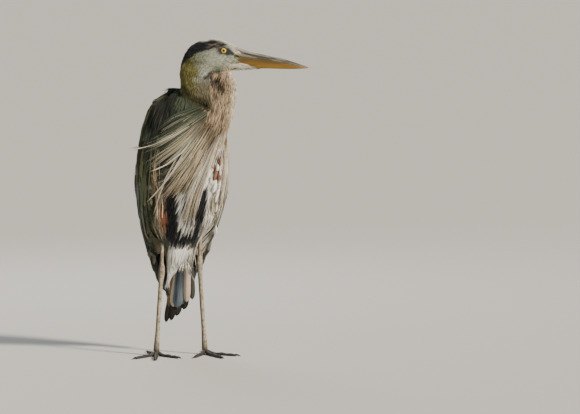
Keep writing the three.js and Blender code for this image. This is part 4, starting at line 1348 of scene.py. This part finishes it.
LONE_PLUMES = [  # forward and height in the look frame, plumes in the lock, half width
    ([(55, 515), (19, 491), (-19, 468), (-55, 451), (-84, 442), (-108, 440)], 4, 1.0),
    ([(44, 486), (6, 437), (-30, 408), (-52, 398), (-66, 393)], 5, 0.8),
    ([(40, 478), (10, 437), (-19, 388), (-48, 352), (-72, 327)], 5, 0.8),
    ([(30, 470), (-2, 431), (-30, 380), (-44, 344), (-58, 300)], 4, 0.7),
]


def lone_plumes():
    plumes = []
    for corners, count, half in LONE_PLUMES:
        for _ in range(count):
            path = along_path(corners, FAN_SHARES * rng.uniform(0.97, 1.0))
            spread = rng.normal(0.0, 1.6, 2) * (1 - 0.8 * FAN_SHARES[:, None])
            laid = lay_on_front(path + spread, 4.6 + rng.uniform(-0.5, 0.5))
            width = half * rng.uniform(0.8, 1.1) * lance_outline(FAN_SHARES, 0.4, 0.92) * MM
            shade = np.array([STRAW, CREAM, WHITE][rng.integers(3)])
            # painted shadow under the neck: each plume green-grey towards its root
            root = fall(0.0, 0.5, FAN_SHARES)[:, None]
            plumes.append((*laid, width, shade * (1 - root) + np.array(GREEN_GREY) * root))
    return stacked(plumes)


fan_parts = [  # locks, plumes in each, spread, half widths, lifts, palette, gather
    fan_of_plumes(100, 5, 0.25, (1.2, 2.2), (0.0, 1.2), UNDER_COLOURS, 0.4),
    fan_of_plumes(150, 4, 0.06, (0.40, 0.80), (2.0, 4.4), OVER_COLOURS, 0.55),
    lone_plumes(),
]
long_feathers("breast_plumes", joined(fan_parts), STRAND, plume_material, "plume", "plumes")

# %% [markdown]
# ## Tail
# Broad feathers with rounded ends, stacked like a closed fan that hangs askew. Seen from in front,
# between the legs, their undersides are blue-grey in the middle, with a cream and a brown one to
# the bird's right, a buff and a dark one to its left, and ragged dark tips behind them all.

# %% Tail feathers, one by one
TAIL_ROOT = (3.0, 90.0, 244.0)  # look frame
TAIL_FEATHERS = [
    # forward and height of the tip, steps back, half width, colour, darkness of the tip
    (8, 106, 1.0, 7.6, (0.420, 0.330, 0.260), 0.10), (20, 112, 2.0, 7.0, (0.060, 0.058, 0.050), 0.0),
    (-13, 94, 2.5, 11.5, (0.120, 0.150, 0.180), 0.15), (-4, 100, 3.5, 9.5, (0.140, 0.170, 0.195), 0.15),
    (-21, 96, 4.0, 10.0, (0.640, 0.560, 0.410), 0.10), (2, 90, 5.0, 10.0, (0.020, 0.018, 0.017), 0.3),
    (-30, 96, 5.5, 8.5, (0.230, 0.150, 0.085), 0.3), (-14, 76, 6.0, 10.0, (0.024, 0.021, 0.019), 0.3),
    (-26, 66, 6.5, 8.0, (0.030, 0.022, 0.016), 0.2), (-37, 62, 7.5, 7.0, (0.026, 0.020, 0.015), 0.2),
]
share = QUILL_SHARES
tail_up = np.tile(ASIDE - 0.12 * UP, (len(share), 1))
tail_feathers = []
for tip_u, tip_z, back, half, colour, dark in TAIL_FEATHERS:
    root = np.array(TAIL_ROOT) + (0.25 * (tip_u - TAIL_ROOT[0]), 0.9 * back, 0)
    tip = np.array((tip_u, 100.0 + 1.5 * back, tip_z))
    path = root + (tip - root) * share[:, None]
    path[:, 0] += 3.0 * np.sin(math.pi * share)
    fade = (1 - dark * 2 * step(0.8, 1.0, share))[:, None]
    width = half * quill_outline(share, 0.4, 0.86) * MM
    tail_feathers.append((place_look(path), tail_up, width, np.array(colour) * fade))
long_feathers("tail_fan", stacked(tail_feathers), QUILL, flight_material, "flight_feather", "tail")

# %% [markdown]
# ## Hard parts: bill, eyes, legs and feet
# These aren't feathered, so they are lofts: a run of rings, skinned. The tables are those of the
# CAD model, read along smooth curves and with many more rings, which leaves room for the groove
# of the nostril, the plates of the legs and the pads of the toes.

# %% Smooth tables and lofts
def smooth_table(rows, keys):
    """Reads a table whose first column grows, along a curve through its rows."""
    rows, keys = np.asarray(rows, float), np.asarray(keys, float)
    slope = np.gradient(rows[:, 1:], rows[:, 0], axis=0)
    i = np.clip(np.searchsorted(rows[:, 0], keys) - 1, 0, len(rows) - 2)
    span = (rows[i + 1, 0] - rows[i, 0])[:, None]
    t = (keys - rows[i, 0])[:, None] / span
    start = (2 * t**3 - 3 * t**2 + 1) * rows[i, 1:] + (t**3 - 2 * t**2 + t) * span * slope[i]
    return start + (3 * t**2 - 2 * t**3) * rows[i + 1, 1:] + (t**3 - t**2) * span * slope[i + 1]


def lofted(name, lofts, shades, material, slot, *replaced):
    """Each loft is (rings, corners, 3) in metres, closed at both ends; shades match it."""
    points, faces, colours, first = [], [], [], 0
    for rings, shade in zip(lofts, shades):
        faces += tube_faces(*rings.shape[:2], first)
        points.append(rings.reshape(-1, 3))
        colours.append(np.broadcast_to(shade, rings.shape).reshape(-1, 3))
        first += len(points[-1])
    mesh = bpy.data.meshes.new(name)
    mesh.from_pydata(np.concatenate(points).tolist(), [], faces)
    closed_outwards(mesh)
    shades = with_alpha(np.clip(np.concatenate(colours), 0, 1))
    store(mesh, "marking", "FLOAT_COLOR", shades, field="color")
    show(name, mesh, material, replaced)


def hard_material(name, roughness, grain_scale, grain_bump, cells=False, coat=0.0):
    material, tree = new_material(name)
    place_node = add_node(tree, "ShaderNodeTexCoord").outputs["Object"]
    sockets = {"Vector": place_node, "Scale": grain_scale}
    if cells:
        grain = add_node(tree, "ShaderNodeTexVoronoi", sockets)
        height = math_node(tree, "POWER", grain.outputs["Distance"], 2.0)
    else:
        height = add_node(tree, "ShaderNodeTexNoise", sockets).outputs["Fac"]
    set_surface(tree, {
        "Base Color": attribute_node(tree, "marking"), "Roughness": roughness,
        "Normal": bump_node(tree, height, grain_bump, 0.0005, invert=cells)})
    if coat:
        set_surface(tree, {"Coat Weight": coat, "Coat Roughness": 0.03})
    return material


# %% [markdown]
# ## The bill
# Long, straight and deep at the base. Each half is a half round over the line where the two
# meet. The upper half has the long groove of the nostril; its ridge is pale grey with darker
# streaks, its side horn brown and its cutting edge yellow. The lower half is orange-yellow.

# %% Both halves of the bill
BILL = [  # forward, ridge, cutting edge, keel, half width
    (108, 656, 627, 606.5, 12), (124, 650.5, 628, 606.8, 10.6), (140, 645, 627.6, 607.4, 9.6),
    (180, 635.4, 623.4, 607.6, 7), (220, 626.4, 617.8, 606.6, 4.7), (242, 619.6, 613.8, 606.8, 3.1),
    (258, 614.2, 611, 607.6, 1.8), (268.5, 610.6, 609.6, 608.8, 0.6),
]
HORN, PALE_HORN, RIDGE_GREY = (0.052, 0.040, 0.027), (0.330, 0.240, 0.130), (0.215, 0.200, 0.170)
BILL_YELLOW, BILL_ORANGE, GROOVE = (0.330, 0.190, 0.014), (0.220, 0.108, 0.007), (0.022, 0.018, 0.014)
RIDGE_PALE = (0.380, 0.345, 0.300)
BILL_OLIVE = (0.090, 0.058, 0.010)


def coated(base, coats, shape):
    """A grid of one colour with others laid over it, each with its own weights."""
    colour = np.tile(np.array(base), (*shape, 1))
    for shade, weight in coats:
        weight = np.clip(weight, 0, 1)[..., None]
        colour = colour * (1 - weight) + np.array(shade) * weight
    return colour


def bill_half(half):
    """Rings and colours of the upper half (1) or the lower half (-1)."""
    base_u, tip_u = BILL[0][0], BILL[-1][0]
    stations = base_u + (tip_u - base_u) * np.linspace(0, 1, 91) ** 0.9
    ridge, edge, keel, wide = smooth_table(BILL, stations).T
    seam = edge - (0.3 if half < 0 else 0.0)
    deep = ridge - seam if half > 0 else seam - keel
    turn = np.linspace(0, math.pi, 25)
    rise = np.sin(turn) ** 0.85
    flare = np.sign(np.cos(turn)) * np.abs(np.cos(turn)) ** 0.8
    across = wide[:, None] * flare
    height = seam[:, None] + half * deep[:, None] * rise
    u = np.repeat(stations[:, None], len(turn), axis=1)
    along_groove = step(124, 134, u) * fall(168, 205, u)
    in_groove = np.exp(-(((rise - 0.60) / 0.09) ** 2)) * along_groove
    slit = np.exp(-(((rise - 0.58) / 0.05) ** 2)) * step(131, 134, u) * fall(143, 148, u)
    if half > 0:
        across = across - np.sign(across) * (0.9 * in_groove + 1.3 * slit)
    lip = np.exp(-((rise / 0.16) ** 2)) * fall(240, 262, u)
    across = across + np.sign(across) * 0.25 * lip
    under = np.stack([u[:, :2], across[:, [-1, 0]] * 0.8, np.repeat(seam[:, None], 2, axis=1)], -1)
    rings = np.concatenate([np.stack([u, across, height], -1), under], axis=1)

    full_rise = np.concatenate([rise, [0, 0]])[None, :] * np.ones((len(stations), 1))
    full_u = rings[..., 0]
    streak = ripple(np.stack([full_u * 0.5, full_rise * 60, full_u * 0], -1), 26.0, 31)
    fine = ripple(np.stack([full_u * 0.9, full_rise * 120, rings[..., 1]], -1), 18.0, 32)
    if half > 0:
        base = HORN
        side_band = step(0.16, 0.30, full_rise) * fall(0.42, 0.52, full_rise)
        grooved = np.concatenate([in_groove * 0.9 + slit, np.zeros((len(stations), 2))], axis=1)
        coats = [
            (RIDGE_GREY, step(0.55, 0.80, full_rise) * 0.95),
            (RIDGE_GREY, side_band * 0.8),
            (HORN, step(-0.1, 0.25, streak) * 0.9),
            (RIDGE_PALE, step(0.72, 0.9, full_rise) * fall(130, 190, full_u) * 0.8),
            (BILL_YELLOW, fall(0.02, 0.07, full_rise) * 0.7),
            (GROOVE, grooved),
        ]
    else:
        base = BILL_ORANGE
        near_edge = fall(0.10, 0.40, full_rise) * fall(180, 245, full_u)
        coats = [
            (BILL_YELLOW, step(0.5, 0.9, full_rise) * 0.6),
            (HORN, fall(0.0, 0.12, full_rise) * 0.5),
            (BILL_OLIVE, near_edge * 0.9),
            (BILL_OLIVE, fall(125, 185, full_u) * 0.45),
            (BILL_OLIVE, step(0.1, 0.6, streak) * 0.35),
        ]
    coats.append((PALE_HORN, step(236, 264, full_u) * 0.45))
    return placed_look(rings), coated(base, coats, full_u.shape) * (1 + 0.10 * fine[..., None])


bill_horn = hard_material("bill_horn", 0.38, 260.0, 0.12)
for half, piece_name, node_name in ((1, "upper_bill", "bill_upper"), (-1, "lower_bill", "bill_lower")):
    rings, shade = bill_half(half)
    lofted(piece_name, [rings], [shade], bill_horn, node_name, node_name)


# %% Feathers of the chin and the forehead, lying forward over the base of the bill
def bill_base_feathers(count, roots, heights, lengths, drop, shades_by_height):
    """roots: forward; heights: rows of forward, lowest and highest; shades_by_height: from
    what height on, and the colours to pick from."""
    share = np.linspace(0.0, 1.0, 5)
    table = np.array(heights, float).T
    feathers = []
    for _ in range(count):
        side = rng.choice((-1, 1))
        root_u = rng.uniform(*roots)
        long = rng.uniform(*lengths)
        ridge, edge, keel, wide = smooth_table(BILL, [root_u + long / 2])[0]
        height = rng.uniform(*(np.interp(root_u, table[0], limit) for limit in table[1:]))
        rise = (height - edge) / (ridge - edge if height > edge else keel - edge)
        out = wide * np.sqrt(np.clip(1 - np.clip(rise, 0, 1) ** 2.3, 0.02, 1.0))
        path = np.column_stack([root_u + long * share, side * (out + 1.4 - 0.9 * share),
                                height - drop * long * share])
        up = np.tile(ASIDE * side + (0.4 if height > edge else -0.3) * UP, (len(share), 1))
        width = rng.uniform(0.5, 0.9) * lance_outline(share, 0.6, 0.3) * MM
        choice = [shades for start, shades in shades_by_height if height >= start][-1]
        shade = np.array(choice[rng.integers(len(choice))])
        feathers.append((place_look(path), up, width, np.tile(shade, (len(share), 1))))
    return stacked(feathers)


CHIN_SHADES = [(0, [WHITE, FACE_WHITE, CREAM, FACE_IN_GREEN_SHADE])]
FOREHEAD_SHADES = [(0, [FACE_WHITE, FACE_IN_GREEN_SHADE]), (631, [BLACK, INK]), (638, [YELLOW, GREY_OLIVE]),
                   (642, [WHITE, FACE_WHITE, PINKISH, FACE_IN_GREEN_SHADE])]
chin = bill_base_feathers(380, (98, 146), [(98, 603, 616), (120, 604.5, 620), (146, 606.6, 611)], (7, 14),
                          0.05, CHIN_SHADES)
forehead = bill_base_feathers(340, (101, 118), [(101, 628, 658), (118, 640, 652)], (8, 13), 0.34,
                              FOREHEAD_SHADES)
long_feathers("chin_feathers", joined([chin, forehead]), STRAND, soft_material, "face_feather")

# %% [markdown]
# ## The eyes
# Each eye is a ball with a slightly raised cornea, drawn as rings about the line of sight, so
# that the pupil, the yellow iris and the dark rim have crisp edges. A narrow ring of bare skin,
# drawn out to two corners, holds it in the head.

# %% Eyeballs and lids
PUPIL, IRIS = 2.8, 5.1
IRIS_YELLOW, IRIS_INNER = (0.900, 0.640, 0.004), (0.800, 0.440, 0.004)
EYE_DARK = (0.003, 0.003, 0.004)
CORNEA_RISE, CORNEA_TURN = 0.045, math.radians(49)
# degrees from the line of sight, close together where the pupil and the iris end
eye_turns = np.radians([2, 9, 15, 20.6, 21.2, 25, 29, 34, 38, 41.5, 42.5, 46, 50, 56, 62, 72, 90, 120,
                        150, 178])


def full_circle(corners):
    return 2 * math.pi * np.arange(corners) / corners


def round_eye(side, radial, angle, out):
    """Points at a distance and an angle round the line of sight, and so far out of the head."""
    return np.stack([EYE["forward"] + radial * np.cos(angle), side * (EYE["side"] + out),
                     EYE["height"] + radial * np.sin(angle)], -1)


def eyeball(side):
    round_turn = full_circle(40)[None, :]
    radius = EYE["radius"] * (1 + CORNEA_RISE * (1 - (eye_turns / CORNEA_TURN) ** 2).clip(0))
    far, out, _ = np.broadcast_arrays((radius * np.sin(eye_turns))[:, None],
                                      (radius * np.cos(eye_turns))[:, None], round_turn)
    iris = 1.0 * (far > PUPIL + 0.03) * (far < IRIS) * (out > 0)
    fibre = np.random.default_rng(5).uniform(-1, 1, 40)[None, :]
    shade = coated(EYE_DARK, [
        (IRIS_YELLOW, iris),
        (IRIS_INNER, iris * fall(PUPIL, PUPIL + 1.3, far) * 0.6),
        (IRIS_INNER, iris * step(IRIS - 0.8, IRIS, far) * 0.7),
    ], far.shape) * (1 + 0.12 * (iris * fibre)[..., None])
    return placed_look(round_eye(side, far, round_turn, out)), shade


LID_REACH, LID_CORNER = 5.95, 0.9
LID_TILT = 0.08


def lid(side):
    around, tube = full_circle(48)[:, None], full_circle(8)[None, :]
    corner = LID_CORNER * np.abs(np.cos(around)) ** 8
    out = 4.75 + 0.75 * np.sin(tube) - 0.05 * corner
    return placed_look(round_eye(side, LID_REACH + corner + 0.8 * np.cos(tube), around + LID_TILT, out))


eye_gloss = hard_material("eye_gloss", 0.05, 100.0, 0.0, coat=1.0)
for side, side_name in ((1, "left"), (-1, "right")):
    rings, shade = eyeball(side)
    lofted(f"eyeball_{side_name}", [rings], [shade], eye_gloss, "eye", f"eye_{side_name}")


def closed_tubes(name, tubes, material):
    """Tubes that meet their own beginning, each (rings, corners, 3) in metres."""
    points, faces, first = [], [], 0
    for rings in tubes:
        count, corners = rings.shape[:2]
        grid = first + np.arange(count * corners).reshape(count, corners)
        beside, onward = np.roll(grid, -1, axis=1), np.roll(grid, -1, axis=0)
        across = np.roll(beside, -1, axis=0)
        faces += np.stack([grid, beside, across, onward], -1).reshape(-1, 4).tolist()
        points.append(rings.reshape(-1, 3))
        first += count * corners
    mesh = bpy.data.meshes.new(name)
    mesh.from_pydata(np.concatenate(points).tolist(), [], faces)
    closed_outwards(mesh)
    show(name, mesh, material)


lid_material, lid_tree = new_material("lid_skin")
set_surface(lid_tree, {"Base Color": (0.018, 0.018, 0.020, 1.0), "Roughness": 0.45})
closed_tubes("lids", [lid(1), lid(-1)], lid_material)

# %% [markdown]
# ## Legs and feet
# Bare legs are covered in plates: broad ones down the front, small round ones behind. The broad
# plates are real steps in the mesh, the small ones a bump. Toes are four lofts with a pad at
# each joint and a flat sole that stays on the floor; claws are short curved cones.

# %% A loft along stations, with plates across its front
def leg_loft(stations, steps, corners, side, plates=0.0, pitch=4.0, sole=None):
    """stations: x, y, z, half breadth, half depth. Returns rings, share along and front mask."""
    rows = np.asarray(stations, float)
    run = np.r_[0.0, np.cumsum(np.linalg.norm(np.diff(rows[:, :3], axis=0), axis=1))]
    keys = np.linspace(0, run[-1], steps)
    table = smooth_table(np.column_stack([run, rows]), keys)
    line, breadth, depth = table[:, :3], table[:, 3:4], table[:, 4:5]
    tangent = unit(np.gradient(line, axis=0))
    across = unit(np.array(side) - (tangent @ np.array(side))[:, None] * tangent)
    up = np.cross(tangent, across)
    turn = full_circle(corners)
    offset = (across[:, None] * (breadth * np.cos(turn))[..., None]
              + up[:, None] * (depth * np.sin(turn))[..., None])
    front = np.clip(np.sin(turn) * np.sign(plates or 1), 0, 1) ** 0.5
    saw = (keys / pitch) % 1.0
    groove = np.clip(3 * (1 - 2 * np.abs(saw - 0.5)), 0, 1)[:, None] * front
    size = 1 + abs(plates) * (groove - 0.6) * front / np.maximum(breadth, 1)
    rings = line[:, None] + offset * size[..., None]
    if sole is not None:
        rings[..., 2] = np.maximum(rings[..., 2], sole)
    return rings, (keys / run[-1])[:, None] * np.ones(corners), groove, front


def at_row(rings):
    return (rings + SHIFT) * MM


# %% Shanks
LEGS = {  # ankle and foot
    "left": (np.array([41.0, 12, 191]), np.array([48.5, -4.0, 15])),
    "right": (np.array([-41.5, 12, 176]), np.array([-56.5, -4.0, 15])),
}
LEG_TAN, LEG_LIT_CREAM, LEG_DARK = (0.150, 0.110, 0.068), (0.520, 0.440, 0.310), (0.036, 0.029, 0.022)
leg_scale = hard_material("leg_scales", 0.55, 330.0, 0.5, cells=True)


def shank_stations(ankle, foot):
    """Down from under the thigh to the foot: places and their half breadths and depths."""
    outer = math.copysign(1, ankle[0])
    above = [((outer, -9, 72), 4.4, 5.6), ((0, -4, 34), 3.7, 5.0), ((0, -2, 19), 4.4, 5.8),
             ((0.4, 0, 9), 6.6, 7.8)]
    along = [(0, 7.2, 8.6), (0.05, 6.6, 7.6), (0.13, 5.0, 5.9), (0.25, 4.6, 5.5), (0.5, 4.7, 5.6),
             (0.82, 4.7, 5.7), (0.95, 5.8, 6.2)]
    below = [(6, 6.0, 6.7), (12, 5.0, 5.6)]
    return ([(*(ankle + offset), *halves) for offset, *halves in above]
            + [(*(ankle + (foot - ankle) * share), *halves) for share, *halves in along]
            + [(*(foot - (0, 0, drop)), *halves) for drop, *halves in below])


# painted light and shade: each shank is pale on its lit side, which faces this way round it, and dark on the
# other
LIT_SIDE = 1.25  # the pale side of a shank faces this way round it
KNEE_SHARE = 0.30
for side_name, (ankle, foot) in LEGS.items():
    rings, share, groove, front = leg_loft(shank_stations(ankle, foot), 150, 20, (1.0, 0, 0),
                                           plates=0.35, pitch=4.6)
    mottle, fleck = ripple(rings, 14.0, 41), ripple(rings, 6.0, 42)
    lit = step(0.10, 0.60, np.cos(full_circle(rings.shape[1]) - LIT_SIDE))[None, :]
    knee = np.exp(-(((share - KNEE_SHARE) / 0.035) ** 2))
    # painted light on the lit side and painted shade on the other, then real flecks, a darker knee, dark
    # joints between the plates and a dark foot
    shade = coated(LEG_TAN, [
        (LEG_LIT_CREAM, 0.9 * lit * (0.70 + 0.30 * mottle) * fall(0.86, 0.97, share)),
        (LEG_DARK, 0.8 * (1 - lit)),
        (LEG_DARK, 0.55 * step(0.25, 0.6, fleck)),
        (LEG_DARK, 0.45 * knee * (0.5 + 0.5 * mottle)),
        (LEG_DARK, 0.30 * (1 - groove) * front[None, :]),
        (LEG_DARK, step(0.93, 1.0, share) * 0.8),
    ], share.shape)
    lofted(f"leg_{side_name}", [at_row(rings)], [shade], leg_scale, "leg_scale", f"shank_{side_name}")

# %% Toes and claws
TOES = {  # length, radius, and the way it points from straight ahead, left and right
    "middle": (88, 4.9, 10, -14), "outer": (76, 4.6, 44, -47), "inner": (70, 4.6, -30, 26),
    "hind": (52, 4.5, 170, -172),
}
SOLE = 0.64  # how high a toe's middle lies over the floor, in radii
TOE_DARK, CLAW_DARK = (0.030, 0.027, 0.024), (0.016, 0.014, 0.012)
CLAW_RADIUS, CLAW_LENGTH = 2.5, 16.5
TOE_STATIONS = [(0, 7, 0.95), (0.12, 3.4, 0.95), (0.24, 0, 1.02), (0.42, 0, 0.82), (0.56, 0, 0.98),
                (0.72, 0, 0.76), (0.86, 0, 0.86), (1, 0, 0.58)]
CLAW_STATIONS = [(0, 2.5, 1), (0.35, 3.4, 0.84), (0.7, 2.9, 0.56), (1, 1.3, 0.22)]
toes, toe_shades, claws = {}, [], {}
for side_name, (_, foot) in LEGS.items():
    for digit, (length, radius, *angles) in TOES.items():
        angle = math.radians(angles[side_name == "right"])
        ahead = np.array([math.sin(angle), -math.cos(angle), 0.0])
        across = (math.cos(angle), math.sin(angle), 0.0)
        base = foot * (1, 1, 0)
        stations = [(*(base + ahead * length * share + (0, 0, lift + SOLE * radius * size)),
                     radius * size, radius * size * 0.86) for share, lift, size in TOE_STATIONS]
        rings, share, groove, _ = leg_loft(stations, 64, 16, across, plates=0.4, pitch=3.2, sole=0.0)
        toes[f"toe_{side_name}_{digit}"] = at_row(rings)
        toe_shades.append(coated(TOE_DARK, [(LEG_TAN, 0.35 * groove * fall(0.1, 0.5, share))],
                                 share.shape))
        stations = [(*(base + ahead * (length - CLAW_RADIUS + CLAW_LENGTH * share) + (0, 0, height)),
                     CLAW_RADIUS * size * 0.7, CLAW_RADIUS * size)
                    for share, height, size in CLAW_STATIONS]
        claws[f"claw_{side_name}_{digit}"] = at_row(leg_loft(stations, 16, 10, across, sole=0.0)[0])
toe_scale = hard_material("toe_scales", 0.5, 420.0, 0.6, cells=True)
claw_horn = hard_material("claw_horn", 0.3, 300.0, 0.05)
lofted("toes", toes.values(), toe_shades, toe_scale, "toe_scale", *toes)
lofted("claws", claws.values(), [np.array(CLAW_DARK)] * len(claws), claw_horn, "claw", *claws)

# %% [markdown]
# ## The stage
# A long lens from far away, as a bird is really looked at, on a plain pale floor with soft light:
# a warm, broad sun as key from the bird's left, a cooler fill from its right, and a little light
# from behind.

# %% Camera, lights and floor
FRAME_WIDTH = 1218.0  # millimetres that the frame takes in at the bird
LENS, SENSOR = 200.0, 36.0
RISE = math.radians(4.0)  # the camera looks down by this much
FRAME_CENTRE = (228.9, 0.0, 317.1)  # look frame

distance = FRAME_WIDTH * MM * LENS / SENSOR
aim = place_look([FRAME_CENTRE])[0]
eye_line = -ASIDE * math.cos(RISE) + UP * math.sin(RISE)


def look_at(made, start, target):
    made.location = Vector(start)
    made.rotation_euler = (Vector(target) - Vector(start)).to_track_quat("-Z", "Y").to_euler()


camera_data = bpy.data.cameras.new("camera")
camera_data.lens, camera_data.sensor_width = LENS, SENSOR
camera_data.clip_end = 200.0
camera = new_object("camera", camera_data)
look_at(camera, aim + eye_line * distance, aim)
bpy.context.scene.camera = camera


def light(name, kind, towards, colour, power, **settings):
    """towards: where the light hangs, seen from the aim: forward, aside and up, in metres."""
    data = bpy.data.lights.new(name, kind)
    data.energy, data.color = power, colour
    for key, value in settings.items():
        setattr(data, key, value)
    look_at(new_object(name, data), aim + np.array(towards) @ (FORWARD, ASIDE, UP), aim)


light("key", "SUN", (2.6, -1.7, 2.0), (1.0, 0.91, 0.77), 5.6, angle=math.radians(9.0))
light("fill", "AREA", (-2.0, -1.6, 0.5), (0.84, 0.96, 0.92), 10.0, shape="DISK", size=2.2)
light("back", "AREA", (-0.8, 2.0, 1.5), (0.95, 0.98, 1.0), 16.0, shape="DISK", size=1.2)

world = bpy.data.worlds.new("studio")
bpy.context.scene.world = world
world.use_nodes = True
sky = world.node_tree.nodes["Background"].inputs
sky["Color"].default_value = (0.90, 0.94, 0.94, 1.0)
sky["Strength"].default_value = 0.25

FLOOR_HALF = 150.0
floor_mesh = bpy.data.meshes.new("floor")
corners = [(x * FLOOR_HALF, y * FLOOR_HALF, 0) for x, y in ((-1, -1), (1, -1), (1, 1), (-1, 1))]
floor_mesh.from_pydata(corners, [], [(0, 1, 2, 3)])
floor = new_object("floor", floor_mesh)
floor_material, floor_tree = new_material("pale_floor")
set_surface(floor_tree, {"Base Color": (0.66, 0.65, 0.63, 1.0), "Roughness": 0.85})
floor_mesh.materials.append(floor_material)
